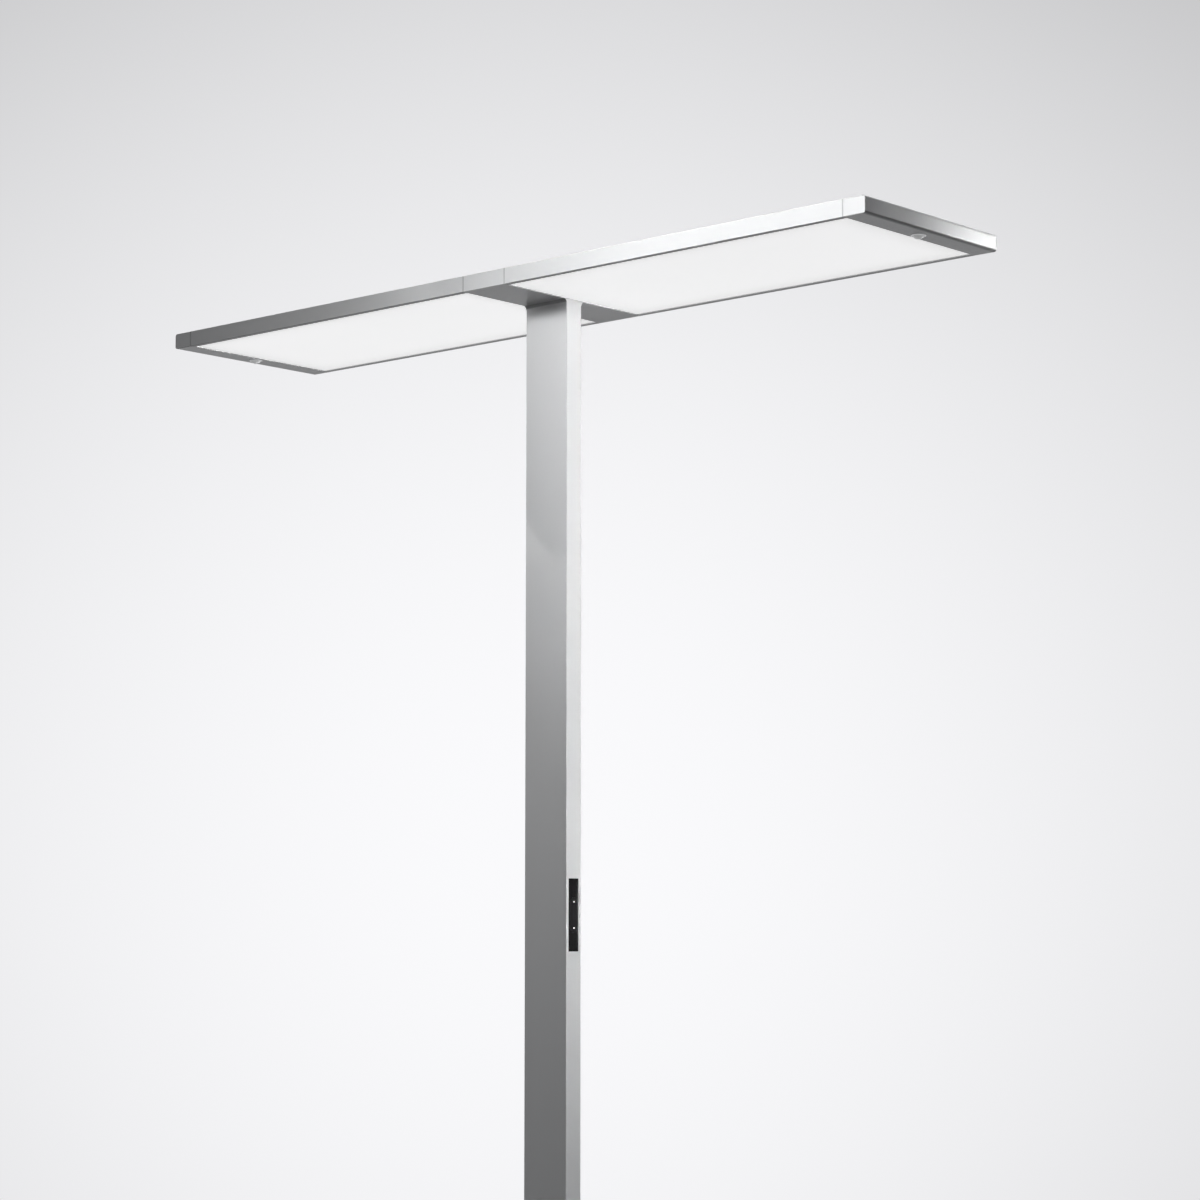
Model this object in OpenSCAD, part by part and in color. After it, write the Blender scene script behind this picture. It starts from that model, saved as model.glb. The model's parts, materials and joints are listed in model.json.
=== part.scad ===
// Office floor lamp: a slim double head on a flat rectangular column, with a steel base plate.
// The head runs along X, its front fascia faces -Y, and the floor is z = 0.
// The column stands on the origin, and the control panel is on its +X face.

/* [Lamp] */
// Height of the lamp, from the floor to the top of the head
lamp_h = 1950; // [1800:10:2100]

/* [Head] */
// Length of the head from end to end
head_l = 1370; // [1200:10:1600]
// Width of the head
head_w = 300; // [260:5:340]
// Thickness of the head
head_t = 24; // [21:0.5:28]
// Length of each end cap along the head
cap_l = 36; // [30:1:50]
// Radius of the end cap's rounded outer edges
cap_r = 4; // [1:0.5:6]
// Wall of the end cap's end face
cap_wall = 3; // [2:0.5:5]
// Radius along the head's long outer edges
edge_r = 0.6; // [0.3:0.1:1.2]
// Gap that shows as a line where two pieces of the head meet
seam = 0.4; // [0.2:0.1:1]

/* [Rails] */
// Outer wall of the side rails
rail_wall = 2; // [1.6:0.1:2.6]
// Width of the lip that frames the diffuser, from the head's outer face
lip_w = 8.5; // [7.5:0.5:12]
// Thickness of that lip
lip_t = 1.5; // [1:0.1:2]
// Thickness of the rail's inner ribs
rib_t = 1.2; // [0.8:0.1:1.5]
// Radius of the screw channel in each rail
channel_r = 1.6; // [1.2:0.1:1.8]

/* [Light] */
// Thickness of the diffuser
diffuser_t = 2; // [1.5:0.1:2.5]
// Thickness of the light guide
guide_t = 4; // [3:0.2:4.6]
// Thickness of the reflector sheet
reflector_t = 0.5; // [0.3:0.1:0.8]
// Sheet of the tray that carries the light guide
tray_t = 1.5; // [1:0.1:2]
// Distance between the diodes along the edge strips
edge_led_pitch = 20; // [12:1:40]
// Sheet of the top covers
cover_t = 1.5; // [1:0.1:2]
// Width of the uplight window
window_w = 110; // [80:5:140]
// Distance from each end of a wing to its uplight window
window_inset = 45; // [30:5:80]
// Width of the uplight board
board_w = 50; // [40:2:70]
// Distance between the diodes on the uplight board
board_led_pitch = 34; // [20:1:50]

/* [Sensor] */
// Outer radius of the sensor's ring
ring_r = 10.5; // [9.5:0.5:13]
// Radius of the sensor's lens
lens_r = 8.2; // [7:0.1:8.4]
// How far the lens stands out below the head
lens_h = 5.4; // [3:0.2:6.5]
// Distance of the sensor's middle from the joint between end cap and wing
sensor_in = 12.5; // [11:0.5:18]
// Radius of the small dark window beside the sensor, which the daylight comes in by
daylight_r = 1.5; // [1:0.1:2]

/* [Neck] */
// Length of the stem between the head and the column
stem_l = 14; // [10:1:30]
// Radius of the hollow corner where the stem meets the head
neck_r = 6; // [4:0.5:9.5]
// Floor of the neck casting
neck_floor = 3; // [2.5:0.1:4]
// Side walls of the neck casting
neck_wall = 3; // [2.5:0.1:4]
// Width of the two steel bars that join the wings
bar_w = 25; // [16:1:40]
// Thickness of those bars
bar_t = 5; // [4:0.5:6]
// Distance of each bar from the middle of the head
bar_y = 80; // [65:1:95]
// How far the bars reach into each wing
bar_reach = 80; // [60:5:120]

/* [Column] */
// Width of the column along the head
column_w = 82; // [80:1:110]
// Depth of the column across the head
column_d = 32; // [31:1:44]
// Wall of the column
column_wall = 2.5; // [2:0.1:3]
// Radius of the column's corners
column_r = 1.5; // [0.5:0.1:2]
// Radius of the screw channels' bores in the column
port_r = 2.75; // [2:0.05:3]
// Wall round those bores
port_wall = 1.75; // [1.5:0.05:2]

/* [Drivers] */
// Width of each LED driver
driver_w = 30; // [24:1:32]
// Depth of each LED driver
driver_d = 21; // [16:1:22]
// Length of each LED driver
driver_l = 360; // [200:10:420]
// Height of the lower driver above the base plate
driver_z = 140; // [110:5:200]
// Gap between the two drivers
driver_gap = 30; // [10:5:60]

/* [Control panel] */
// Height of the panel's middle above the floor
panel_z = 1025; // [900:5:1200]
// Height of the panel
panel_h = 105; // [90:1:140]
// Width of the panel
panel_w = 21; // [20:0.5:22]
// How far the panel stands out of the column
panel_proud = 0.3; // [0.1:0.1:0.8]
// Length of the rocker key
key_l = 51; // [44:1:60]
// Width of the rocker key
key_w = 14.6; // [13:0.1:14.6]
// How far the key stands out of the panel
key_proud = 0.6; // [0.3:0.1:1]
// Distance of each lit mark from the middle of the key
mark_z = 18.8; // [16:0.1:19]
// Radius of the lit marks
mark_r = 1.2; // [0.8:0.1:1.5]
// Radius of the pin that the key rocks on
pin_r = 1; // [0.7:0.1:1.2]

/* [Cable entry] */
// Height of the cable entry above the base plate
entry_z = 32; // [28:1:60]
// Radius of the cable's hole
cable_r = 3.8; // [3:0.1:4.5]
// Radius of the gland's thread
gland_r = 8; // [7.6:0.1:9]

/* [Base] */
// Length of the base plate along the head
base_l = 500; // [420:10:640]
// Width of the base plate
base_w = 320; // [300:10:420]
// Thickness of the base plate
base_t = 12; // [10:1:16]
// Radius of the base plate's corners
base_r = 15; // [8:1:40]
// Chamfer along the base plate's top edge
base_chamfer = 1.2; // [0.5:0.1:3]
// Radius of the foot pads
pad_r = 20; // [14:1:30]
// Thickness of the foot pads
pad_t = 3; // [2:0.5:6]
// Distance of the foot pads from the plate's edges
pad_inset = 38; // [32:1:60]

/* [Hidden] */
$fn = 48;
SIDES = ["left", "right"];
fit = 0.15;                 // clearance of a sliding seat
tiny = 0.02;                // how far a cut runs past the face it opens

// heights in the head, above the floor
under_z = lamp_h - head_t;
guide_z = under_z + lip_t + diffuser_t;
reflector_z = guide_z + guide_t;
tray_z = reflector_z + reflector_t;
tray_top = tray_z + tray_t;
cover_z = lamp_h - cover_t;
shelf_z = cover_z - rib_t;

// a wing, from the neck to the end cap and from the middle to a rail
wing_x0 = column_w / 2 + seam;
wing_x1 = head_l / 2 - cap_l - seam;
wing_l = wing_x1 - wing_x0;
wing_mid = (wing_x0 + wing_x1) / 2;
half_w = head_w / 2;
inner_w = half_w - rail_wall;
lip_y = half_w - lip_w;
tray_y = inner_w - fit;
strip_t = 1;
led_t = 0.8;
led_gap = 0.2;
strip_y = tray_y - tray_t - strip_t;
optic_y = strip_y - led_t - led_gap;

// the rail's screw channel, which stands on a short web
channel_wall = 1;
channel_web = 0.6;
channel_y = inner_w - channel_web - channel_wall - channel_r;
channel_z = (tray_top + rib_t + shelf_z) / 2;

// uplight window and board
window_r = 5;
window_l = wing_l - 2 * window_inset;
board_inset = 10;

// column and stem
base_top = pad_t + base_t;
column_top = under_z - stem_l;
column_h = column_top - base_top;
port_space = 0.6;           // between a screw channel's bore and the wall
groove_wall = 1;
groove_lip = 1.5;
slide_t = 1.5;
slide_w = driver_w + 2 * groove_lip;
slide_y = column_wall - column_d / 2;
driver_y = slide_y + slide_t;
port_x = slide_w / 2 + fit + groove_wall + port_r + port_wall;
port_y = column_d / 2 - column_wall - port_r - port_space;
slot_w = 9;
slot_x = port_x + 10;
loom_r = 3;
loom_gap = 2.5;
loom_x = -(port_x + loom_r + loom_gap);
spigot_l = 12;
locator_h = 14;
locator_x = 10;
slide_z = base_top + locator_h;

// screws: shank radius, head radius and head height
m3 = [1.2, 2.7, 1.3];
m4 = [1.8, 3.5, 2.6];
m5 = [2.4, 4.25, 2.8];
m6 = [port_r - 0.05, 5, 4];
rail_screw = [channel_r - 0.1, 2.7, 1.8];
csk = [m6[0], 6, 3.3];
csk_small = [m5[0], 4.8, 2.6];
csk_recess = 0.3;

// cover screws and their places along a wing
cover_screw_n = 5;
cover_screw_inset = 20;
cover_screw_y = inner_w - 3;

// end cap and sensor
cap_floor = 2.5;
cap_top = 2;
lug_inset = 60;
lug_y = half_w - lug_inset;
lug_w = 24;
lug_t = 3;
lug_reach = 18;
lug_screw_x = 10;
sensor_x = head_l / 2 - cap_l + sensor_in;
daylight_gap = 2.8;
daylight_flange_r = daylight_r + 0.9;
daylight_y = ring_r + daylight_gap;
ring_t = 1.2;
ring_bore = lens_r + 0.1;
ring_neck_r = ring_bore + 0.8;
ring_neck = 5;
lens_flange = 1;

// neck
boss_inset = 19;
boss_x = column_w / 2 - boss_inset;
boss_r = 6;
terminal_x = 26;
terminal_w = 18;
terminal_h = 14;
terminal_y = port_y + m6[1] + 0.5;
lead_y = terminal_y + 4.5;
notch_w = 12;

// cable entry, along its own axis from the column's -X face
hex_t = 5;
boss_l = 6;
boss_d = 1;
barrel_in = column_wall + 6;
locknut_t = 3;
seal_wall = 1.6;
seal_r = cable_r + seal_wall;
seal_top = hex_t + boss_l + 1;
nut_wall = 2.4;
nut_r = gland_r - boss_d + nut_wall;
block_h = 30;
block_over = 24;
block_z = base_top + entry_z + block_over;

// control unit, measured inwards from the column's +X face
rebate = 1.2;
ledge_y = 1.5;
ledge_z = 3;
house_depth = 12;
house_wall = 1.1;
house_w = panel_w - 2 * ledge_y - 2 * fit;
house_h = panel_h - 2 * ledge_z - 2 * fit;
hook_l = 2.5;
hook_h = 0.8;
key_gap = 0.2;
key_depth = 2.2;
pin_depth = 3.4;
post_depth = 5;
control_depth = 9;
control_t = 1.2;
switch_h = 3.1;

// ---- shared shapes ----

// A rectangle with round corners, centred
module round_rect(w, d, r) {
    square([w - 2 * r, d], center = true);
    square([w, d - 2 * r], center = true);
    for (x = [-1, 1], y = [-1, 1]) {
        translate([x * (w / 2 - r), y * (d / 2 - r)]) circle(r);
    }
}

// A long slot with round ends, centred, w long and d wide
module slot_2d(w, d) {
    square([w - d, d], center = true);
    for (x = [-1, 1]) translate([x * (w - d) / 2, 0]) circle(d / 2);
}

// A profile drawn in Y and Z, carried along X from x0 to x1
module along_x(x0, x1) {
    translate([x0, 0, 0]) rotate([90, 0, 90]) linear_extrude(x1 - x0) children();
}

// A profile drawn in X and Z, carried along Y and centred on y = 0
module along_y(length) {
    rotate([90, 0, 0]) linear_extrude(length, center = true) children();
}

// A box from one corner to the opposite one
module box(from, to) {
    translate(from) cube(to - from);
}

// The right wing's pieces are modelled, and the left wing's are their mirror image
module on_side(side) {
    if (side == "left") mirror([1, 0, 0]) children();
    else children();
}

// Both end caps are one casting, so the left one stands half a turn round from the right one
module turned_side(side) {
    if (side == "left") rotate([0, 0, 180]) children();
    else children();
}

// Copies at the four combinations of +x and -x with +y and -y
module at_four(x, y) {
    for (sx = [-1, 1], sy = [-1, 1]) translate([sx * x, sy * y, 0]) children();
}

// A screw that points down, with its head's lower face at z = 0 and a hexagon socket in the head
module cap_screw(size, length) {
    difference() {
        union() {
            cylinder(r = size[1], h = size[2]);
            translate([0, 0, -length]) cylinder(r = size[0], h = length + tiny);
        }
        translate([0, 0, size[2] * 0.4]) cylinder(r = size[0] * 0.9, h = size[2], $fn = 6);
    }
}

// A countersunk screw that points up or down from its flat head at z = 0, along -Z
module flat_screw(size, length) {
    difference() {
        union() {
            translate([0, 0, -size[2]]) cylinder(r1 = size[0], r2 = size[1], h = size[2]);
            translate([0, 0, -length]) cylinder(r = size[0], h = length - size[2] + tiny);
        }
        translate([0, 0, -size[2] * 0.6]) cylinder(r = size[0] * 0.8, h = size[2], $fn = 6);
    }
}

// The hole that seats a countersunk screw, with its mouth at z = 0
module flat_screw_hole(size, depth, recess) {
    translate([0, 0, -recess - size[2]]) cylinder(r1 = size[0], r2 = size[1], h = size[2]);
    translate([0, 0, -recess - tiny]) cylinder(r = size[1], h = recess + 2 * tiny);
    translate([0, 0, -depth]) cylinder(r = size[0] + 0.1, h = depth);
}

// ---- outline of the head ----

// Section across the head, drawn in Y and Z from the underside up
module head_section() {
    translate([0, head_t / 2]) round_rect(head_w, head_t, edge_r);
}

// ---- wings, modelled on the right ----

// Section of the rear rail: wall, diffuser lip, clamp rib, cover shelf and screw channel
module rail_section() {
    into_wall = inner_w + rail_wall / 2;
    difference() {
        union() {
            intersection() {
                head_section();
                union() {
                    translate([inner_w, 0]) square([rail_wall, head_t]);
                    translate([lip_y, 0]) square([lip_w, lip_t]);
                }
            }
            translate([lip_y, tray_top - under_z]) square([into_wall - lip_y, rib_t]);
            translate([lip_y, shelf_z - under_z]) square([into_wall - lip_y, rib_t]);
            translate([channel_y, channel_z - under_z]) {
                circle(channel_r + channel_wall);
                translate([0, -channel_wall / 2]) square([into_wall - channel_y, channel_wall]);
            }
        }
        translate([channel_y, channel_z - under_z]) circle(channel_r);
    }
}

function cover_screw_x(i) =
    wing_x0 + cover_screw_inset + i * (wing_l - 2 * cover_screw_inset) / (cover_screw_n - 1);

module rear_rail() {
    color([0.75, 0.76, 0.78]) difference() {
        translate([0, 0, under_z]) along_x(wing_x0, wing_x1) rail_section();
        for (i = [0:cover_screw_n - 1]) {
            translate([cover_screw_x(i), cover_screw_y, shelf_z - tiny])
                cylinder(r = m3[0] + 0.05, h = rib_t + 2 * tiny);
        }
    }
}

module front_rail() {
    mirror([0, 1, 0]) rear_rail();
}

// Places of the screws that hold a bar to a wing
function bar_screw_x() = [wing_x0 + 18, column_w / 2 + bar_reach - 12];

// A folded sheet: a web over the light guide, and a flange down to each rail's lip
module light_tray() {
    color([0.82, 0.83, 0.85]) difference() {
        union() {
            box([wing_x0, -tray_y, tray_z], [wing_x1, tray_y, tray_top]);
            for (s = [-1, 1]) {
                translate([wing_x0, s * (tray_y - tray_t / 2) - tray_t / 2, under_z + lip_t])
                    cube([wing_l, tray_t, tray_top - under_z - lip_t]);
            }
        }
        for (x = bar_screw_x(), s = [-1, 1]) {
            translate([x, s * bar_y, tray_z - tiny])
                cylinder(r = m5[0] + 0.05, h = tray_t + 2 * tiny);
        }
        for (s = [-1, 1]) {
            translate([wing_x1 - lug_screw_x, s * lug_y, tray_z - tiny])
                cylinder(r = m4[0] + 0.05, h = tray_t + 2 * tiny);
        }
    }
}

// Circuit strips along both flanges, with diodes that face the light guide's edges
module edge_led_strips() {
    led_size = [5, led_t + tiny, 3];
    strip_x0 = wing_x0 + 1;
    strip_l = wing_l - 2;
    led_n = floor((strip_l - 2 * led_size[0]) / edge_led_pitch) + 1;
    led_x0 = strip_x0 + (strip_l - (led_n - 1) * edge_led_pitch - led_size[0]) / 2;
    led_z = guide_z + (guide_t - led_size[2]) / 2;
    foot_gap = 0.3;
    color([0.93, 0.93, 0.9]) for (s = [0, 1]) mirror([0, s, 0]) {
        translate([strip_x0, strip_y, under_z + lip_t + foot_gap])
            cube([strip_l, strip_t, tray_z - under_z - lip_t - foot_gap]);
        for (i = [0:led_n - 1]) {
            translate([led_x0 + i * edge_led_pitch, strip_y - led_t, led_z]) cube(led_size);
        }
    }
}

module light_guide() {
    color([0.9, 0.95, 0.97, 0.6]) box([wing_x0, -optic_y, guide_z], [wing_x1, optic_y, reflector_z]);
}

module reflector() {
    color([0.97, 0.97, 0.97]) box([wing_x0, -optic_y, reflector_z], [wing_x1, optic_y, tray_z]);
}

module diffuser() {
    color([0.96, 0.97, 0.98]) box([wing_x0, -optic_y, under_z + lip_t], [wing_x1, optic_y, guide_z]);
}

// The board under the uplight window, with two rows of diodes and a connector
module uplight_board() {
    board_t = 1.6;
    led = [3.5, 3.5, 0.8];
    plug = [12, 12, 5];
    x0 = wing_x0 + window_inset + board_inset;
    x1 = wing_x1 - window_inset - board_inset;
    led_n = floor((x1 - x0 - plug[0] - 20) / board_led_pitch) + 1;
    led_x0 = x0 + plug[0] + 10;
    top = tray_top + board_t - tiny;
    color([0.94, 0.94, 0.92]) {
        box([x0, -board_w / 2, tray_top], [x1, board_w / 2, tray_top + board_t]);
        for (i = [0:led_n - 1], s = [-1, 1]) {
            translate([led_x0 + i * board_led_pitch, s * board_w / 4 - led[1] / 2, top]) cube(led);
        }
        translate([x0 + 1, lead_y - plug[1] / 2, top]) cube(plug);
    }
}

// The clear cover of the uplight, held by a flange under the top cover
module uplight_window() {
    flange = 6;
    flange_t = 1.3;
    below_top = 0.3;
    color([0.92, 0.95, 0.96, 0.5]) translate([wing_mid, 0, 0]) {
        translate([0, 0, cover_z - tiny]) linear_extrude(cover_t - below_top + tiny)
            round_rect(window_l - 2 * fit, window_w - 2 * fit, window_r - fit);
        translate([0, 0, cover_z - flange_t]) linear_extrude(flange_t)
            round_rect(window_l + 2 * flange, window_w + 2 * flange, window_r);
    }
}

module top_cover() {
    color([0.75, 0.76, 0.78]) difference() {
        box([wing_x0, -inner_w + fit, cover_z], [wing_x1, inner_w - fit, lamp_h]);
        translate([wing_mid, 0, cover_z - tiny]) linear_extrude(cover_t + 2 * tiny)
            round_rect(window_l, window_w, window_r);
        for (i = [0:cover_screw_n - 1], s = [-1, 1]) {
            translate([cover_screw_x(i), s * cover_screw_y, lamp_h]) flat_screw_hole(m3, cover_t + tiny, 0.1);
        }
    }
}

module cover_screws() {
    color([0.6, 0.6, 0.62]) for (i = [0:cover_screw_n - 1], s = [-1, 1]) {
        translate([cover_screw_x(i), s * cover_screw_y, lamp_h - 0.1]) flat_screw(m3, lamp_h - shelf_z + 0.3);
    }
}

// Section along the end cap, drawn in X and Z: square at the wing, round at the outer edges
module cap_section() {
    square([cap_l - cap_r, head_t]);
    translate([0, cap_r]) square([cap_l, head_t - 2 * cap_r]);
    for (z = [cap_r, head_t - cap_r]) translate([cap_l - cap_r, z]) circle(cap_r);
}

// A hollow casting, open to the wing, with two lugs that reach over the light tray
module end_cap() {
    cap_x = head_l / 2 - cap_l;
    color([0.75, 0.76, 0.78]) difference() {
        union() {
            difference() {
                intersection() {
                    translate([0, 0, under_z]) along_x(cap_x, head_l / 2) head_section();
                    translate([cap_x, 0, under_z]) along_y(head_w + 2) cap_section();
                }
                box(
                    [cap_x - tiny, -inner_w, under_z + cap_floor],
                    [head_l / 2 - cap_wall, inner_w, lamp_h - cap_top]
                );
                translate([sensor_x, 0, under_z - tiny])
                    cylinder(r = ring_neck_r + 0.1, h = cap_floor + 2 * tiny);
                translate([sensor_x, daylight_y, under_z - tiny])
                    cylinder(r = daylight_r + 0.05, h = cap_floor + 2 * tiny);
            }
            for (s = [-1, 1]) translate([cap_x, s * lug_y, 0]) {
                box([-lug_reach, -lug_w / 2, tray_top], [9, lug_w / 2, tray_top + lug_t]);
                box([1, -lug_w / 2, under_z + cap_floor - tiny], [9, lug_w / 2, tray_top + tiny]);
            }
        }
        for (s = [-1, 1]) {
            translate([wing_x1 - lug_screw_x, s * lug_y, tray_top - tiny])
                cylinder(r = m4[0] + 0.2, h = lug_t + 2 * tiny);
        }
    }
}

module cap_screws() {
    color([0.6, 0.6, 0.62]) for (s = [-1, 1]) {
        translate([wing_x1 - lug_screw_x, s * lug_y, tray_top + lug_t]) cap_screw(m4, lug_t + tray_t);
    }
}

// ---- presence sensor ----

module at_sensor() {
    translate([sensor_x, 0, under_z]) children();
}

module sensor_ring() {
    bevel = 0.4;
    color([0.85, 0.85, 0.86]) at_sensor() rotate_extrude() {
        polygon([
            [ring_bore, -ring_t], [ring_r - bevel, -ring_t], [ring_r, bevel - ring_t],
            [ring_r, 0], [ring_bore, 0]
        ]);
        translate([ring_bore, -tiny]) square([ring_neck_r - ring_bore, ring_neck + tiny]);
    }
}

// A shallow dome on a short tube, with a flange that rests on the ring's neck
module sensor_lens() {
    shell = 1;
    dome_r = (lens_r * lens_r + lens_h * lens_h) / (2 * lens_h);
    dome_z = dome_r - lens_h;
    color([0.95, 0.96, 0.97]) at_sensor() rotate_extrude($fn = 96) {
        intersection() {
            translate([0, dome_z]) difference() {
                circle(dome_r);
                circle(dome_r - shell);
            }
            translate([0, -lens_h - 1]) square([lens_r + 1, lens_h + 1 + tiny]);
        }
        translate([lens_r - shell, 0]) square([shell, ring_neck + lens_flange]);
        translate([lens_r - shell, ring_neck]) square([ring_neck_r - lens_r + shell, lens_flange]);
    }
}

module sensor_board() {
    board_z = ring_neck + lens_flange;
    color([0.2, 0.45, 0.3]) at_sensor() {
        box([-10, -17, board_z], [10, 17, board_z + 1.2]);
        translate([0, 0, board_z - 4]) cylinder(r = 4.1, h = 4 + tiny);
        translate([0, daylight_y, board_z - 1]) box([-1.5, -1.5, 0], [1.5, 1.5, 1 + tiny]);
        box([-4, 6, board_z + 1.2 - tiny], [4, 14, board_z + 2.4]);
        box([-6, -15, board_z + 1.2 - tiny], [6, -9, board_z + 5]);
    }
}

// A dark plug a little above the face, with a flange on the cap's floor
module daylight_window() {
    sunk = 0.3;
    color([0.1, 0.1, 0.11]) translate([sensor_x, daylight_y, under_z]) {
        translate([0, 0, sunk]) cylinder(r = daylight_r, h = cap_floor - sunk + tiny);
        translate([0, 0, cap_floor]) cylinder(r = daylight_flange_r, h = 0.8);
    }
}

// ---- neck: the casting between the wings that carries the head on the column ----

// The column's inner outline with its clearance, less the screw channels and the driver's groove
module inside_column() {
    w = column_w - 2 * column_wall - 2 * fit;
    d = column_d - 2 * column_wall - 2 * fit;
    difference() {
        round_rect(w, d, 0.5);
        at_four(port_x, port_y) circle(port_r + port_wall + fit);
        translate([0, -d / 2]) square([2 * port_x, 2 * groove_depth()], center = true);
    }
}

// How far the driver's groove stands off the column's wall
function groove_depth() = slide_t + fit + groove_wall + fit;

// The open tray between the wings
module neck_tray() {
    half = column_w / 2;
    difference() {
        translate([0, 0, under_z]) along_x(-half, half) head_section();
        box([neck_wall - half, -inner_w, under_z + neck_floor], [half - neck_wall, inner_w, lamp_h + 1]);
        box([-half - 1, -inner_w, cover_z], [half + 1, inner_w, lamp_h + 1]);
        for (s = [-1, 1]) {
            translate([-half - 1, s * bar_y - bar_w / 2 - fit, tray_top])
                cube([column_w + 2, bar_w + 2 * fit, head_t]);
        }
        box([-half - 1, lead_y - notch_w / 2, tray_top], [half + 1, lead_y + notch_w / 2, lamp_h + 1]);
        for (s = [-1, 1]) {
            translate([-half - 1, s * channel_y, channel_z]) rotate([0, 90, 0])
                cylinder(r = rail_screw[0] + 0.1, h = column_w + 2);
        }
    }
}

// The hollow corners between the stem and the underside, drawn in Y and Z
module neck_corners() {
    difference() {
        translate([0, -neck_r / 2 + tiny / 2]) square([column_d + 2 * neck_r, neck_r + tiny], center = true);
        for (s = [-1, 1]) translate([s * (column_d / 2 + neck_r), -neck_r]) circle(neck_r);
    }
}

module neck_casting() {
    half = column_w / 2;
    color([0.75, 0.76, 0.78]) difference() {
        union() {
            neck_tray();
            translate([0, 0, under_z]) along_x(-half, half) neck_corners();
            translate([0, 0, column_top]) linear_extrude(stem_l + neck_floor - tiny)
                round_rect(column_w, column_d, column_r);
            translate([0, 0, column_top - spigot_l]) linear_extrude(spigot_l + tiny) inside_column();
            at_four(boss_x, bar_y) translate([0, 0, under_z + tiny])
                cylinder(r = boss_r, h = tray_top - under_z - tiny);
        }
        translate([0, 0, column_top - spigot_l - 1]) linear_extrude(stem_l + neck_floor + spigot_l + 2)
            slot_2d(2 * slot_x, slot_w);
        at_four(port_x, port_y) translate([0, 0, column_top - 1])
            cylinder(r = m6[0] + 0.2, h = stem_l + neck_floor + 2);
        at_four(boss_x, bar_y) translate([0, 0, tray_top - 5]) cylinder(r = m5[0] + 0.05, h = 5 + tiny);
    }
}

module neck_cover() {
    color([0.75, 0.76, 0.78])
        box([-column_w / 2, -inner_w + fit, cover_z], [column_w / 2, inner_w - fit, lamp_h]);
}

// Screws from the casting's floor down into the column's screw channels
module neck_screws() {
    color([0.5, 0.5, 0.52]) at_four(port_x, port_y) translate([0, 0, under_z + neck_floor])
        cap_screw(m6, neck_floor + stem_l + 22);
}

// Screws from the casting's side walls into the channels in the rails

module rail_screws() {
    color([0.5, 0.5, 0.52]) for (sx = [-1, 1], sy = [-1, 1]) {
        translate([sx * (column_w / 2 - neck_wall), sy * channel_y, channel_z]) rotate([0, -90 * sx, 0])
            cap_screw(rail_screw, neck_wall + seam + 14);
    }
}

function bar_l() = column_w + 2 * bar_reach;

// Where the screws stand along a bar
function bar_holes() = [for (x = concat([boss_x], bar_screw_x()), s = [-1, 1]) s * x];

module bridge_bars() {
    color([0.7, 0.7, 0.72]) for (s = [-1, 1]) difference() {
        translate([-bar_l() / 2, s * bar_y - bar_w / 2, tray_top]) cube([bar_l(), bar_w, bar_t]);
        for (x = bar_holes()) translate([x, s * bar_y, tray_top - tiny])
            cylinder(r = m5[0] + 0.2, h = bar_t + 2 * tiny);
    }
}

module bridge_screws() {
    color([0.5, 0.5, 0.52]) for (x = bar_holes(), s = [-1, 1]) {
        translate([x, s * bar_y, tray_top + bar_t]) cap_screw(m5, bar_t + tray_t);
    }
}

// A lever terminal block on the casting's floor
module head_terminal() {
    way = 10;
    z0 = under_z + neck_floor;
    color([0.9, 0.9, 0.88]) difference() {
        translate([-terminal_x, terminal_y, z0]) cube([2 * terminal_x, terminal_w, terminal_h]);
        for (i = [-2:2]) {
            translate([i * way - 3, terminal_y + terminal_w / 2, z0 + terminal_h - 4])
                cube([6, terminal_w / 2 - 2, 5]);
        }
    }
}

// Leads from the terminal block to the board in each wing
module head_wiring() {
    lead_r = 1.1;
    board_x = wing_x0 + window_inset + board_inset + 1;
    color([0.85, 0.85, 0.85]) for (sx = [-1, 1], i = [-1:1]) {
        translate([sx * terminal_x, lead_y + i * 3.2, tray_top + 4]) rotate([0, 90 * sx, 0])
            cylinder(r = lead_r, h = board_x - terminal_x, $fn = 24);
    }
}

// ---- column ----

// Section of the extruded column: a flat tube with four screw channels and a groove for the drivers
module column_section() {
    w = column_w - 2 * column_wall;
    d = column_d - 2 * column_wall;
    lip_x = slide_w / 2 + fit - groove_lip;
    leg_x = slide_w / 2 + fit;
    difference() {
        union() {
            difference() {
                round_rect(column_w, column_d, column_r);
                round_rect(w, d, 0.5);
            }
            intersection() {
                at_four(port_x, port_y) circle(port_r + port_wall);
                square([column_w - column_wall, column_d - column_wall], center = true);
            }
            for (s = [-1, 1]) scale([s, 1]) {
                translate([leg_x, -d / 2 - tiny]) square([groove_wall, slide_t + fit + groove_wall + tiny]);
                translate([lip_x, -d / 2 + slide_t + fit]) square([groove_lip + tiny, groove_wall]);
            }
        }
        at_four(port_x, port_y) circle(port_r);
    }
}

module column() {
    face = column_w / 2;
    color([0.75, 0.76, 0.78]) difference() {
        translate([0, 0, base_top]) linear_extrude(column_h) column_section();
        translate([0, 0, panel_z]) {
            along_x(face - rebate, face + 1) round_rect(panel_w, panel_h, 1);
            along_x(face - column_wall - 1, face) round_rect(house_w + 2 * fit, house_h + 2 * fit, 0.5);
        }
        at_entry() translate([0, 0, -column_wall - 1]) cylinder(r = gland_r + 0.1, h = column_wall + 2);
    }
}

function driver_at(i) = base_top + driver_z + i * (driver_l + driver_gap);

// The sheet that slides into the column's groove and carries both drivers
module driver_slide() {
    color([0.8, 0.8, 0.82]) box([-slide_w / 2, slide_y, slide_z], [slide_w / 2, driver_y, driver_at(2)]);
}

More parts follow.
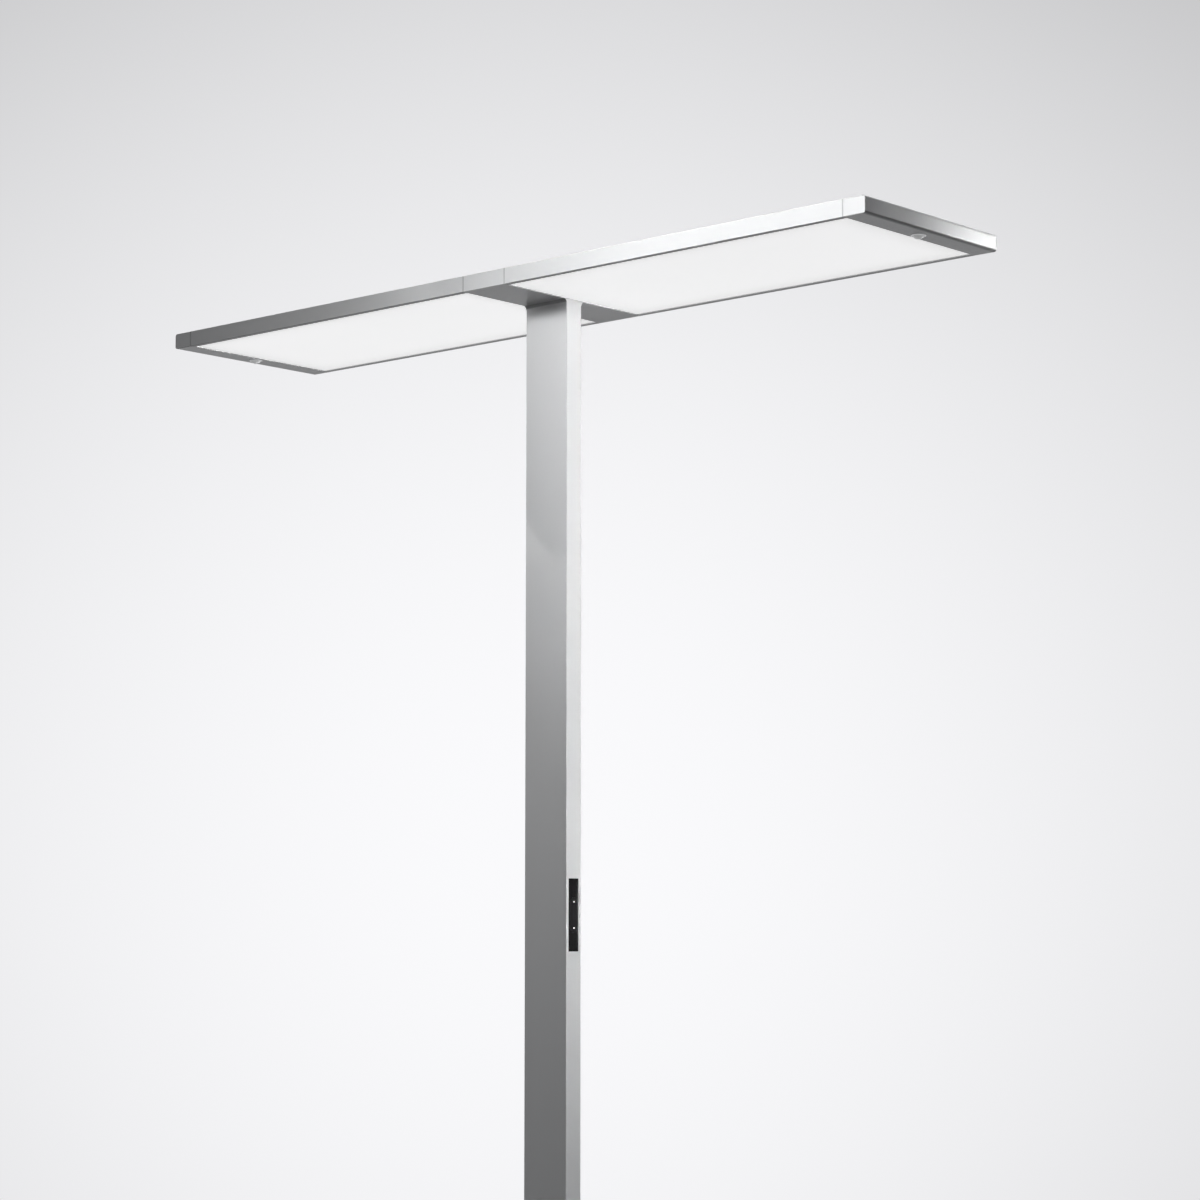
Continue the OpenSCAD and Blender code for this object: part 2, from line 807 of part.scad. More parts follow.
// A slim driver in its case, with a row of terminals at each end
module driver(i) {
    end_l = 14;
    color([0.95, 0.95, 0.95]) translate([0, driver_y + driver_d / 2, driver_at(i)]) difference() {
        linear_extrude(driver_l) round_rect(driver_w, driver_d, 1.5);
        for (z = [-tiny, driver_l - end_l + tiny]) {
            box([-driver_w / 2 + 2, 2, z], [driver_w / 2 - 2, driver_d, z + end_l]);
        }
    }
}

module mains_terminal() {
    way = 6;
    x0 = -column_w / 2 + column_wall;
    color([0.9, 0.9, 0.88]) difference() {
        box([x0, -9, block_z], [x0 + 10, 9, block_z + block_h]);
        for (i = [-1:1]) translate([x0 + 6, i * way, block_z - tiny]) cylinder(r = 2, h = 8, $fn = 24);
    }
}

// The loom from the mains terminal up to the head and across to its terminal block
module column_wiring() {
    lead_z = under_z + neck_floor + m6[2] + loom_r + 1;
    color([0.85, 0.85, 0.85]) {
        translate([loom_x, 0, block_z + block_h]) cylinder(r = loom_r, h = lead_z - block_z - block_h);
        translate([loom_x, 0, lead_z]) sphere(loom_r);
        translate([loom_x, 0, lead_z]) rotate([-90, 0, 0]) cylinder(r = loom_r, h = terminal_y);
    }
}

// ---- cable entry ----

// Local Z points out of the column's -X face, from the face
module at_entry() {
    translate([-column_w / 2, 0, base_top + entry_z]) rotate([0, -90, 0]) children();
}

module gland_body() {
    color([0.75, 0.75, 0.76]) at_entry() difference() {
        union() {
            cylinder(r = gland_r + 4, h = hex_t, $fn = 6);
            translate([0, 0, -barrel_in]) cylinder(r = gland_r, h = barrel_in + tiny);
            translate([0, 0, hex_t - tiny]) cylinder(r = gland_r - boss_d, h = boss_l + tiny);
        }
        translate([0, 0, -barrel_in - 1]) cylinder(r = seal_r, h = barrel_in + hex_t + boss_l + 2);
    }
}

module gland_locknut() {
    color([0.75, 0.75, 0.76]) at_entry() translate([0, 0, -column_wall - locknut_t]) difference() {
        cylinder(r = gland_r + 3, h = locknut_t, $fn = 6);
        translate([0, 0, -1]) cylinder(r = gland_r, h = 5);
    }
}

// The domed nut that squeezes the seal
module gland_nut() {
    nose = 4;
    side_h = seal_top - hex_t - 0.4;
    color([0.75, 0.75, 0.76]) at_entry() translate([0, 0, hex_t + 0.4]) rotate_extrude() difference() {
        polygon([
            [cable_r + 0.4, 0], [nut_r, 0], [nut_r, side_h],
            [nut_r - 1.2, side_h + nose * 0.6], [cable_r + 2, side_h + nose], [cable_r + 0.4, side_h + nose]
        ]);
        translate([0, -tiny]) square([gland_r - boss_d, side_h + tiny]);
    }
}

// The rubber sleeve that grips the cable
module gland_seal() {
    color([0.15, 0.15, 0.15]) at_entry() rotate_extrude() {
        translate([cable_r, -column_wall]) square([seal_wall, seal_top + column_wall]);
        translate([cable_r, seal_top - 1]) square([gland_r - boss_d - cable_r - 0.1, 1]);
    }
}

// ---- control panel ----

// Local origin on the column's +X face at the panel's middle
module at_panel() {
    translate([column_w / 2, 0, panel_z]) children();
}

// A stadium drawn in Y and Z, upright
module stadium(length, width) {
    rotate(90) slot_2d(length, width);
}

module panel_bezel() {
    inner_y = house_w / 2 - house_wall;
    inner_z = house_h / 2 - house_wall;
    rib_z = key_l / 2 + 4;
    rib_w = 1.5;
    hook_x = -column_wall - 0.1;
    color([0.08, 0.08, 0.09]) at_panel() difference() {
        union() {
            along_x(-rebate, panel_proud) round_rect(panel_w - 0.2, panel_h - 0.2, 0.9);
            difference() {
                along_x(-house_depth, -rebate + tiny) round_rect(house_w, house_h, 0.4);
                box([-house_depth - 1, -inner_y, -inner_z], [-rebate, inner_y, inner_z]);
            }
            for (s = [-1, 1]) {
                translate([-control_depth, -inner_y - tiny, s * rib_z - rib_w / 2])
                    cube([control_depth - rebate + tiny, 2 * (inner_y + tiny), rib_w]);
                along_y(8) polygon([
                    [hook_x, s * (house_h / 2 - tiny)], [hook_x, s * (house_h / 2 + hook_h)],
                    [hook_x - hook_l, s * house_h / 2], [hook_x - hook_l, s * (house_h / 2 - tiny)]
                ]);
            }
        }
        along_x(-rebate - 1, panel_proud + 1) stadium(key_l + 2 * key_gap, key_w + 2 * key_gap);
        translate([-pin_depth, 0, 0]) rotate([90, 0, 0])
            cylinder(r = pin_r + 0.02, h = panel_w, center = true);
    }
}

// The board behind the key, with a push switch under each end
module control_board() {
    half_y = house_w / 2 - house_wall - 0.2;
    half_z = house_h / 2 - house_wall - 0.2;
    color([0.12, 0.3, 0.2]) at_panel() {
        box([-control_depth - control_t, -half_y, -half_z], [-control_depth, half_y, half_z]);
        for (s = [-1, 1]) translate([0, 0, s * mark_z]) {
            box([-control_depth - tiny, -3, -3], [-control_depth + switch_h - 0.8, 3, 3]);
            translate([-control_depth, 0, 0]) rotate([0, 90, 0]) cylinder(r = 1.7, h = switch_h);
        }
    }
}

module rocker_pin() {
    color([0.7, 0.7, 0.72]) at_panel() translate([-pin_depth, 0, 0]) rotate([90, 0, 0])
        cylinder(r = pin_r, h = house_w - 0.4, center = true);
}

// The key: a stadium with a bevelled face, a hollow for the finger, a lug on the pin and two posts
module rocker_key() {
    bevel = 0.4;
    face = panel_proud + key_proud;
    half_y = key_w / 2;
    end_z = (key_l - key_w) / 2;
    lug_l = pin_r + 1.3;
    hollow_r = 260;
    hollow_d = 0.4;
    color([0.13, 0.13, 0.14]) at_panel() difference() {
        union() {
            linear_extrude(2 * end_z, center = true) polygon([
                [-key_depth, -half_y], [face - bevel, -half_y], [face, bevel - half_y],
                [face, half_y - bevel], [face - bevel, half_y], [-key_depth, half_y]
            ]);
            for (s = [-1, 1]) translate([0, 0, s * end_z]) rotate([0, 90, 0]) {
                translate([0, 0, -key_depth]) cylinder(r = half_y, h = face - bevel + key_depth);
                translate([0, 0, face - bevel]) cylinder(r1 = half_y, r2 = half_y - bevel, h = bevel);
            }
            box([-pin_depth - lug_l, -3.5, -lug_l], [-key_depth + tiny, 3.5, lug_l]);
            for (s = [-1, 1]) translate([-post_depth, 0, s * mark_z]) rotate([0, 90, 0])
                cylinder(r = mark_r + 1.2, h = post_depth - key_depth + tiny);
        }
        translate([face + hollow_r - hollow_d, 0, 0]) rotate([90, 0, 0])
            cylinder(r = hollow_r, h = panel_w, center = true, $fn = 360);
        translate([-pin_depth, 0, 0]) rotate([90, 0, 0])
            cylinder(r = pin_r + 0.05, h = panel_w, center = true);
        for (s = [-1, 1]) translate([-post_depth - 1, 0, s * mark_z]) rotate([0, 90, 0])
            cylinder(r = mark_r, h = post_depth + 3);
    }
}

// Light pipes that show as two bright dots
module rocker_marks() {
    color([0.97, 0.97, 0.97]) at_panel() for (s = [-1, 1]) {
        translate([-post_depth, 0, s * mark_z]) rotate([0, 90, 0])
            cylinder(r = mark_r, h = post_depth + panel_proud + key_proud);
    }
}

// ---- base ----

// A plate with round corners and a bevelled top edge, standing on z = 0
module bevelled_plate(l, w, t, r, c) {
    x = l / 2 - r;
    y = w / 2 - r;
    linear_extrude(t - c) {
        square([2 * x, w], center = true);
        square([l, 2 * y], center = true);
    }
    along_x(-x, x) bevelled_edge(w, t, c);
    along_y(2 * y) bevelled_edge(l, t, c);
    at_four(x, y) {
        cylinder(r = r, h = t - c);
        translate([0, 0, t - c]) cylinder(r1 = r, r2 = r - c, h = c);
    }
}

// Section of the plate's top layer, w wide
module bevelled_edge(w, t, c) {
    polygon([
        [-w / 2, t - c - 1], [w / 2, t - c - 1], [w / 2, t - c],
        [w / 2 - c, t], [c - w / 2, t], [-w / 2, t - c]
    ]);
}

module base_plate() {
    color([0.72, 0.73, 0.75]) difference() {
        translate([0, 0, pad_t]) bevelled_plate(base_l, base_w, base_t, base_r, base_chamfer);
        translate([0, 0, pad_t]) mirror([0, 0, 1]) {
            at_four(port_x, port_y) flat_screw_hole(csk, base_t + 1, csk_recess);
            for (s = [-1, 1]) {
                translate([s * locator_x, 0, 0]) flat_screw_hole(csk_small, base_t + 1, csk_recess);
            }
        }
    }
}

// The block that fills the column's foot and keeps it square on the plate
module foot_locator() {
    color([0.7, 0.7, 0.72]) translate([0, 0, base_top]) difference() {
        linear_extrude(locator_h) inside_column();
        for (s = [-1, 1]) translate([s * locator_x, 0, -tiny]) cylinder(r = m5[0] + 0.05, h = locator_h + 1);
    }
}

module base_screws() {
    color([0.5, 0.5, 0.52]) at_four(port_x, port_y) translate([0, 0, pad_t + csk_recess]) mirror([0, 0, 1])
        flat_screw(csk, base_t + 24);
}

module locator_screws() {
    color([0.5, 0.5, 0.52]) for (s = [-1, 1]) {
        translate([s * locator_x, 0, pad_t + csk_recess]) mirror([0, 0, 1]) flat_screw(csk_small, base_t + 9);
    }
}

module foot_pads() {
    color([0.12, 0.12, 0.12]) at_four(base_l / 2 - pad_inset, base_w / 2 - pad_inset)
        cylinder(r = pad_r, h = pad_t);
}

// ---- the pieces ----

for (s = SIDES) {
    on_side(s) front_rail();
    on_side(s) rear_rail();
    on_side(s) light_tray();
    on_side(s) edge_led_strips();
    on_side(s) light_guide();
    on_side(s) reflector();
    on_side(s) diffuser();
    on_side(s) uplight_board();
    on_side(s) uplight_window();
    on_side(s) top_cover();
    on_side(s) cover_screws();
    turned_side(s) end_cap();
    on_side(s) cap_screws();
    on_side(s) sensor_ring();
    on_side(s) sensor_lens();
    turned_side(s) sensor_board();
    turned_side(s) daylight_window();
}
neck_casting();
neck_cover();
neck_screws();
rail_screws();
bridge_bars();
bridge_screws();
head_terminal();
head_wiring();
column();
driver_slide();
driver(0);  // downlight_driver
driver(1);  // uplight_driver
column_wiring();
mains_terminal();
gland_body();
gland_locknut();
gland_nut();
gland_seal();
panel_bezel();
control_board();
rocker_pin();
rocker_key();
rocker_marks();
base_plate();
foot_locator();
base_screws();
locator_screws();
foot_pads();
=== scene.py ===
"""Office floor lamp: finishes, fine pieces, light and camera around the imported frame."""

import json
import math

import bmesh
import bpy
import numpy as np
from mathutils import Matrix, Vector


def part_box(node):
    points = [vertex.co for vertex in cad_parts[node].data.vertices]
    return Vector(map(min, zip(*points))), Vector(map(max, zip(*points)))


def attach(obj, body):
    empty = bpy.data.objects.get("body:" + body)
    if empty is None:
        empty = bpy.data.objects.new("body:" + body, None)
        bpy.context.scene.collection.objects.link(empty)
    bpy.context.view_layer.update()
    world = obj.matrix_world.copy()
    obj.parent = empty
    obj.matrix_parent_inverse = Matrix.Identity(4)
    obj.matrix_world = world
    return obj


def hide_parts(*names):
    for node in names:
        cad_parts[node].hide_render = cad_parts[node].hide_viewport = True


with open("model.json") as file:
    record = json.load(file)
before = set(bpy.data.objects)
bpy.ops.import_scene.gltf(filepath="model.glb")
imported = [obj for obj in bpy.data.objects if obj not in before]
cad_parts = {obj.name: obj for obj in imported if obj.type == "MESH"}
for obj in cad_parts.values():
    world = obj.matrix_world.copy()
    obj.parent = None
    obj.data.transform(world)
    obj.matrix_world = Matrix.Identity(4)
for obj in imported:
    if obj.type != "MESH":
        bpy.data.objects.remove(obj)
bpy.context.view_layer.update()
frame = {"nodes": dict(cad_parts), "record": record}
nodes = frame["nodes"]
SIDES = ("left", "right")
MM = 0.001
TAU = 2 * math.pi


# ---- camera ----

CAMERA_AT = (2.8940, -3.1397, 1.0195)
CAMERA_HEADING = 0.7286
CAMERA_PITCH = 0.1085
LENS_MM = 87.78
SENSOR_MM = 36


def make_camera():
    """A camera at the photograph's own place, heading, pitch and lens."""
    data = bpy.data.cameras.new("camera")
    data.lens = LENS_MM
    data.sensor_width = SENSOR_MM
    data.clip_end = 60
    camera = bpy.data.objects.new("camera", data)
    camera.location = CAMERA_AT
    camera.rotation_euler = (math.pi / 2 + CAMERA_PITCH, 0, CAMERA_HEADING)
    bpy.context.scene.collection.objects.link(camera)
    bpy.context.scene.camera = camera


# ---- shader nodes in short calls ----

class Shade:
    """A node tree, with one short call for each kind of node that the finishes use."""

    def __init__(self, tree):
        self.tree = tree

    def put(self, socket, value):
        if isinstance(value, bpy.types.NodeSocket):
            self.tree.links.new(value, socket)
        else:
            socket.default_value = value

    def add(self, kind, settings=None, **sockets):
        made = self.tree.nodes.new("ShaderNode" + kind)
        for key, value in (settings or {}).items():
            setattr(made, key, value)
        for key, value in sockets.items():
            self.put(made.inputs[key.replace("_", " ")], value)
        return made

    def math(self, operation, a, b=0.0, clamp=False):
        made = self.add("Math", {"operation": operation, "use_clamp": clamp})
        self.put(made.inputs[0], a)
        self.put(made.inputs[1], b)
        return made.outputs[0]

    def vector(self, operation, a, b=(0, 0, 0)):
        made = self.add("VectorMath", {"operation": operation})
        self.put(made.inputs[0], a)
        self.put(made.inputs[1], b)
        return made.outputs[0]

    def scaled(self, vector, factor):
        made = self.add("VectorMath", {"operation": "SCALE"})
        self.put(made.inputs[0], vector)
        self.put(made.inputs[3], factor)
        return made.outputs[0]

    def mix(self, factor, a, b):
        made = self.add("Mix", {"data_type": "RGBA"})
        for index, value in ((0, factor), (6, a), (7, b)):
            self.put(made.inputs[index], value)
        return made.outputs[2]

    def step(self, value, low, high, start=0.0, end=1.0):
        """A smooth step from start, where value is low, to end, where it is high."""
        made = self.add("MapRange", {"interpolation_type": "SMOOTHSTEP"})
        for index, number in enumerate((value, low, high, start, end)):
            self.put(made.inputs[index], number)
        return made.outputs[0]

    def noise(self, vector, scale, detail=2.0):
        return self.add("TexNoise", Vector=vector, Scale=scale, Detail=detail).outputs[0]

    def parts(self, vector):
        return self.add("SeparateXYZ", Vector=vector).outputs

    def place(self, centre=(0, 0, 0), stretch=(1, 1, 1)):
        """Object coordinates, centred on a point and stretched along each axis."""
        here = self.add("TexCoord").outputs["Object"]
        moved = [-c * s for c, s in zip(centre, stretch)]
        return self.add("Mapping", Vector=here, Location=moved, Scale=stretch).outputs[0]


def new_group(name, inputs, outputs):
    """A shader group with named sockets: the group, its tree helper, and the sockets inside it that
    bring its inputs and take its outputs."""
    group = bpy.data.node_groups.new(name, "ShaderNodeTree")
    for way, sockets in (("INPUT", inputs), ("OUTPUT", outputs)):
        for label, kind in sockets.items():
            group.interface.new_socket(name=label, in_out=way, socket_type="NodeSocket" + kind)
    shade = Shade(group)
    first = group.nodes.new("NodeGroupInput").outputs
    last = group.nodes.new("NodeGroupOutput").inputs
    return group, shade, first, last


def make_skin_group():
    """Fine grain and wide cloudiness over a surface, as colour, roughness and height."""
    group, shade, have, give = new_group(
        "skin",
        {"Place": "Vector", "Stretched": "Vector", "Colour": "Color", "Fine Scale": "Float",
         "Cloud Scale": "Float", "Colour Shift": "Float", "Rough": "Float", "Rough Shift": "Float"},
        {"Colour": "Color", "Roughness": "Float", "Height": "Float"},
    )
    fine = shade.noise(have["Stretched"], have["Fine Scale"], 3.0)
    cloud = shade.noise(have["Place"], have["Cloud Scale"], 2.0)
    fine_off = shade.math("SUBTRACT", fine, 0.5)
    cloud_off = shade.math("SUBTRACT", cloud, 0.5)
    both = shade.math("ADD", fine_off, cloud_off)
    factor = shade.math("ADD", shade.math("MULTIPLY", both, have["Colour Shift"]), 1.0)
    rough = shade.math("ADD", shade.math("MULTIPLY", both, have["Rough Shift"]), have["Rough"])
    shade.put(give["Colour"], shade.scaled(have["Colour"], factor))
    shade.put(give["Roughness"], shade.math("MAXIMUM", rough, 0.02))
    shade.put(give["Height"], fine)
    return group


def make_edge_group():
    """How near a point of a box is to one of its edges: the middle one of its distances to the
    three pairs of faces, broken up by noise so that the band isn't a ruled line."""
    group, shade, have, give = new_group(
        "edge band",
        {"Place": "Vector", "Half Size": "Vector", "Width": "Float", "Break Scale": "Float"},
        {"Mask": "Float"},
    )
    depth = shade.vector("SUBTRACT", have["Half Size"], shade.vector("ABSOLUTE", have["Place"]))
    a, b, c = shade.parts(depth)
    low = shade.math("MINIMUM", a, b)
    high = shade.math("MAXIMUM", a, b)
    middle = shade.math("MAXIMUM", low, shade.math("MINIMUM", high, c))
    ragged = shade.noise(have["Place"], have["Break Scale"], 3.0)
    width = shade.math("MULTIPLY", have["Width"], shade.math("ADD", ragged, 0.5))
    shade.put(give["Mask"], shade.step(middle, 0.0, width, 1.0, 0.0))
    return group


def make_dust_group():
    """Thin dust: it lies where a face looks up, in soft patches with finer specks."""
    group, shade, have, give = new_group(
        "dust", {"Place": "Vector", "Amount": "Float"}, {"Mask": "Float"}
    )
    up = shade.parts(shade.add("NewGeometry").outputs["Normal"])[2]
    patches = shade.step(shade.noise(have["Place"], 9.0, 3.0), 0.35, 0.75)
    specks = shade.step(shade.noise(have["Place"], 900.0, 2.0), 0.6, 0.75)
    lying = shade.step(up, 0.5, 1.0)
    cover = shade.math("ADD", shade.math("MULTIPLY", patches, 0.6), shade.math("MULTIPLY", specks, 0.4))
    shade.put(give["Mask"], shade.math("MULTIPLY", shade.math("MULTIPLY", cover, lying), have["Amount"]))
    return group


def make_painted_rim_group():
    """Masks for painted shade on rounded lower rims and a painted highlight on rounded upper rims, told by
    how far a face leans down or up. Faces that are flat below take the painted shade only as far as Flat
    Too says."""
    group, shade, have, give = new_group(
        "painted_rims", {"Flat Too": "Float"}, {"Painted Shade": "Float", "Painted Highlight": "Float"}
    )
    lean = shade.parts(shade.add("NewGeometry").outputs["Normal"])[2]
    down = shade.step(lean, -0.5, -0.08, 1.0, 0.0)
    flat_below = shade.step(lean, -0.995, -0.95, 1.0, 0.0)
    spared = shade.math("MULTIPLY", flat_below, shade.math("SUBTRACT", 1.0, have["Flat Too"]))
    up = shade.step(lean, 0.08, 0.5)
    flat_above = shade.step(lean, 0.95, 0.995)
    shade.put(give["Painted Shade"], shade.math("SUBTRACT", down, spared, clamp=True))
    shade.put(give["Painted Highlight"], shade.math("SUBTRACT", up, flat_above, clamp=True))
    return group


SKIN = make_skin_group()
EDGE = make_edge_group()
DUST = make_dust_group()
PAINTED_RIMS = make_painted_rim_group()


# ---- finishes ----

# tones of the painted shade on lower rims and of the painted highlight on upper rims
UNDER_SHADE_TONE = 0.3
OVER_HIGHLIGHT_TONE = 1.3
DUST_COLOUR = (0.72, 0.71, 0.69, 1)
DUST_ROUGH = (0.8, 0.8, 0.8, 1)


def start_material(name):
    """A material with only its output and its Principled shader."""
    material = bpy.data.materials.new(name)
    material.use_nodes = True
    tree = material.node_tree
    tree.nodes.clear()
    shade = Shade(tree)
    shader = shade.add("BsdfPrincipled")
    output = shade.add("OutputMaterial")
    tree.links.new(shader.outputs[0], output.inputs[0])
    return material, shade, shader


def use_group(shade, group, **sockets):
    """A shared group's node with its inputs set, as its output sockets."""
    made = shade.tree.nodes.new("ShaderNodeGroup")
    made.node_tree = group
    for key, value in sockets.items():
        shade.put(made.inputs[key.replace("_", " ")], value)
    return made.outputs


def toned(colour, factor):
    """A colour made darker or paler by a factor, with its alpha."""
    return (*[min(1.0, c * factor) for c in colour], 1)


def skin(name, colour, rough, metal=0.0, fine=2500, stretch=(1, 1, 1), cloud=6, shift=0.04,
         rough_shift=0.12, bump=0.2, depth=2e-5, edges=None, edge_wear_and_shade_tone=1.12, painted_rims=None, dust=0.0,
         specular=0.5):
    """A finished surface from the shared groups: grain along stretch, wide cloudiness, and where
    asked a band along a box's edges, paler as wear where its tone is above 1 and darker as painted shade
    where it is below, painted shade on lower rims and a painted highlight on upper rims, and dust on top.
    edges is (centre, half size, width), and the rim argument is how far flat undersides take the painted
    shade of the lower rims."""
    material, shade, shader = start_material(name)
    here = shade.place()
    grain = use_group(
        shade, SKIN, Place=here, Stretched=shade.place(stretch=stretch), Colour=(*colour, 1),
        Fine_Scale=fine, Cloud_Scale=cloud, Colour_Shift=shift, Rough=rough, Rough_Shift=rough_shift,
    )
    base = grain["Colour"]
    roughness = grain["Roughness"]
    if edges:
        centre, half, width = edges
        mask = use_group(
            shade, EDGE, Place=shade.place(centre=centre), Half_Size=half, Width=width, Break_Scale=60.0
        )["Mask"]
        # the edge band: paler wear where its tone is above 1, painted shade where it is below
        base = shade.mix(mask, base, toned(colour, edge_wear_and_shade_tone))
        roughness = shade.math("SUBTRACT", roughness, shade.math("MULTIPLY", mask, 0.08))
    # painted shade on lower rims and flat undersides, painted highlight on upper rims
    if painted_rims is not None:
        painted_rim_masks = use_group(shade, PAINTED_RIMS, Flat_Too=painted_rims)
        base = shade.mix(painted_rim_masks["Painted Shade"], base, toned(colour, UNDER_SHADE_TONE))
        base = shade.mix(painted_rim_masks["Painted Highlight"], base, toned(colour, OVER_HIGHLIGHT_TONE))
    if dust:
        mask = use_group(shade, DUST, Place=here, Amount=dust)["Mask"]
        base = shade.mix(mask, base, DUST_COLOUR)
        roughness = shade.mix(mask, roughness, DUST_ROUGH)
    shade.put(shader.inputs["Base Color"], base)
    shade.put(shader.inputs["Roughness"], roughness)
    shader.inputs["Metallic"].default_value = metal
    shader.inputs["Specular IOR Level"].default_value = specular
    raised = shade.add("Bump", Strength=bump, Distance=depth, Height=grain["Height"])
    shade.put(shader.inputs["Normal"], raised.outputs[0])
    return material, shade, shader


def box_edges(name, width):
    """Centre, half size and band width of a CAD node's box, for the band along its edges: paler wear on
    the base plate, painted shade on the satin pieces.
    """
    low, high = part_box(name)
    return (low + high) / 2, (high - low) / 2, width


SILVER = (0.66, 0.665, 0.672)
ALONG_X = (0.03, 1, 1)
ALONG_Z = (1, 1, 0.03)
CAST_GRAIN = (0.6, 1, 1)
# the next three set darker bands of painted shade at the head's joints and along the column's and covers'
# edges: their width and tones
JOINT_WIDTH = 0.0015
JOINT_SHADE_TONE = 0.55
EDGE_SHADE_TONE = 0.84


def anodised(name, along, edges, edge_wear_and_shade_tone, painted_rims=None, dust=0.0):
    """Satin silver on drawn or cast aluminium: semi-metallic, with its grain along the piece."""
    return skin(name, SILVER, 0.36, metal=0.12, fine=2600, stretch=along, cloud=3.0, shift=0.03,
                rough_shift=0.10, bump=0.18, depth=1.5e-5, edges=edges, edge_wear_and_shade_tone=edge_wear_and_shade_tone, painted_rims=painted_rims,
                dust=dust)


def cap_finish(name):
    """The end cap's satin, with lines of painted shade on its underside along the outer rim and the wing.
    """
    edges = joint_edges(name, JOINT_WIDTH)
    centre, half = edges[:2]
    # painted shade at the joint band and on the lower rims, and partly on the flat underside
    material, shade, shader = anodised(name, CAST_GRAIN, edges, JOINT_SHADE_TONE, painted_rims=0.35)
    plain = shader.inputs["Base Color"].links[0].from_socket
    # painted shade: darker lines on the flat underside along the outer rim and at the wing
    x = shade.parts(shade.place(centre=centre))[0]
    outwards = shade.math("MULTIPLY", x, math.copysign(1.0, centre.x))
    outer = shade.step(outwards, half.x - 0.007, half.x - 0.004)
    inner = shade.step(outwards, -half.x, -half.x + 0.003, 1.0, 0.0)
    lean = shade.parts(shade.add("NewGeometry").outputs["Normal"])[2]
    flat_below = shade.step(lean, -0.99, -0.9, 1.0, 0.0)
    painted_shade_lines = shade.math("MULTIPLY", shade.math("MAXIMUM", outer, inner), flat_below)
    shade.put(shader.inputs["Base Color"], shade.mix(painted_shade_lines, plain, toned(SILVER, 0.45)))
    return material


def joint_edges(name, width):
    """The band of painted shade at a head piece's joints to its neighbours in X, and not along its other
    edges: the end cap's box starts at the wing, and the others' boxes are taken taller than they are. The
    column's box goes on past its joint to the neck, which shows no band."""
    centre, half, width = box_edges(name, width)
    if name == "column":
        centre.z, half.z = centre.z + 0.05, half.z + 0.05
    elif name.startswith("end_cap"):
        wing_low, wing_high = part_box(name.replace("end_cap", "front_rail"))
        sign = 1 if centre.x > 0 else -1
        outer = centre.x + sign * half.x
        inner = wing_high.x if sign > 0 else wing_low.x
        centre.x, half.x = (outer + inner) / 2, abs(outer - inner) / 2
    else:
        half.z += 0.01
    return centre, half, width


def opal(name):
    """The lit diffuser: white, a little dimmer towards the frame, with a very fine prism grain."""
    low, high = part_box(name)
    centre = (low + high) / 2
    half = (high - low) / 2
    material, shade, shader = skin(name, (0.62, 0.62, 0.62), 0.5, fine=5200, cloud=4, shift=0.02,
                                   rough_shift=0.08, bump=0.1, depth=1e-5)
    x, y = shade.parts(shade.place(centre=centre))[:2]
    in_x = shade.math("SUBTRACT", half.x, shade.math("ABSOLUTE", x))
    in_y = shade.math("SUBTRACT", half.y, shade.math("ABSOLUTE", y))
    inner = shade.step(shade.math("MINIMUM", in_x, in_y), 0.0, 0.045)
    glow = shade.mix(inner, (0.86, 0.86, 0.86, 1), (0.95, 0.95, 0.955, 1))
    shade.put(shader.inputs["Emission Color"], glow)
    shader.inputs["Emission Strength"].default_value = 0.78
    shader.inputs["Specular IOR Level"].default_value = 0.3
    return material


def frosted_window(name):
    """The uplight's frosted cover, lit from below by two rows of diodes."""
    low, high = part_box(name)
    centre = (low + high) / 2
    half = (high - low) / 2
    material, shade, shader = skin(name, (0.86, 0.88, 0.9), 0.42, fine=4200, cloud=8, shift=0.02,
                                   rough_shift=0.1, bump=0.15, depth=2e-5)
    x, y = shade.parts(shade.place(centre=centre))[:2]
    rows = shade.math("SUBTRACT", shade.math("ABSOLUTE", y), 0.0125)
    along = shade.math("PINGPONG", x, 0.017)
    near = shade.math("ADD", shade.math("POWER", rows, 2.0), shade.math("POWER", along, 2.0))
    spot = shade.step(near, 0.0, 0.00045, 1.0, 0.0)
    wide = shade.step(shade.math("ABSOLUTE", y), 0.01, half.y, 1.0, 0.0)
    ends = shade.step(shade.math("ABSOLUTE", x), half.x - 0.05, half.x, 1.0, 0.0)
    light = shade.math("MULTIPLY", shade.math("ADD", shade.math("MULTIPLY", spot, 0.25), wide), ends)
    glow = shade.mix(light, (0.42, 0.44, 0.46, 1), (0.95, 0.94, 0.90, 1))
    shade.put(shader.inputs["Emission Color"], glow)
    shader.inputs["Emission Strength"].default_value = 0.7
    return material


def acrylic(name):
    """The light guide: clear, with printed dots that show as a fine white field."""
    material, shade, shader = skin(name, (0.93, 0.95, 0.96), 0.08, fine=900, cloud=8, shift=0.02,
                                   rough_shift=0.02, bump=0.05, depth=1e-5)
    dots = shade.add("TexVoronoi", Vector=shade.place(), Scale=420.0).outputs["Distance"]
    printed = shade.step(dots, 0.22, 0.30, 1.0, 0.0)
    shade.put(shader.inputs["Roughness"], shade.step(printed, 0.0, 1.0, 0.08, 0.6))
    shader.inputs["Transmission Weight"].default_value = 0.8
    shader.inputs["IOR"].default_value = 1.49
    return material


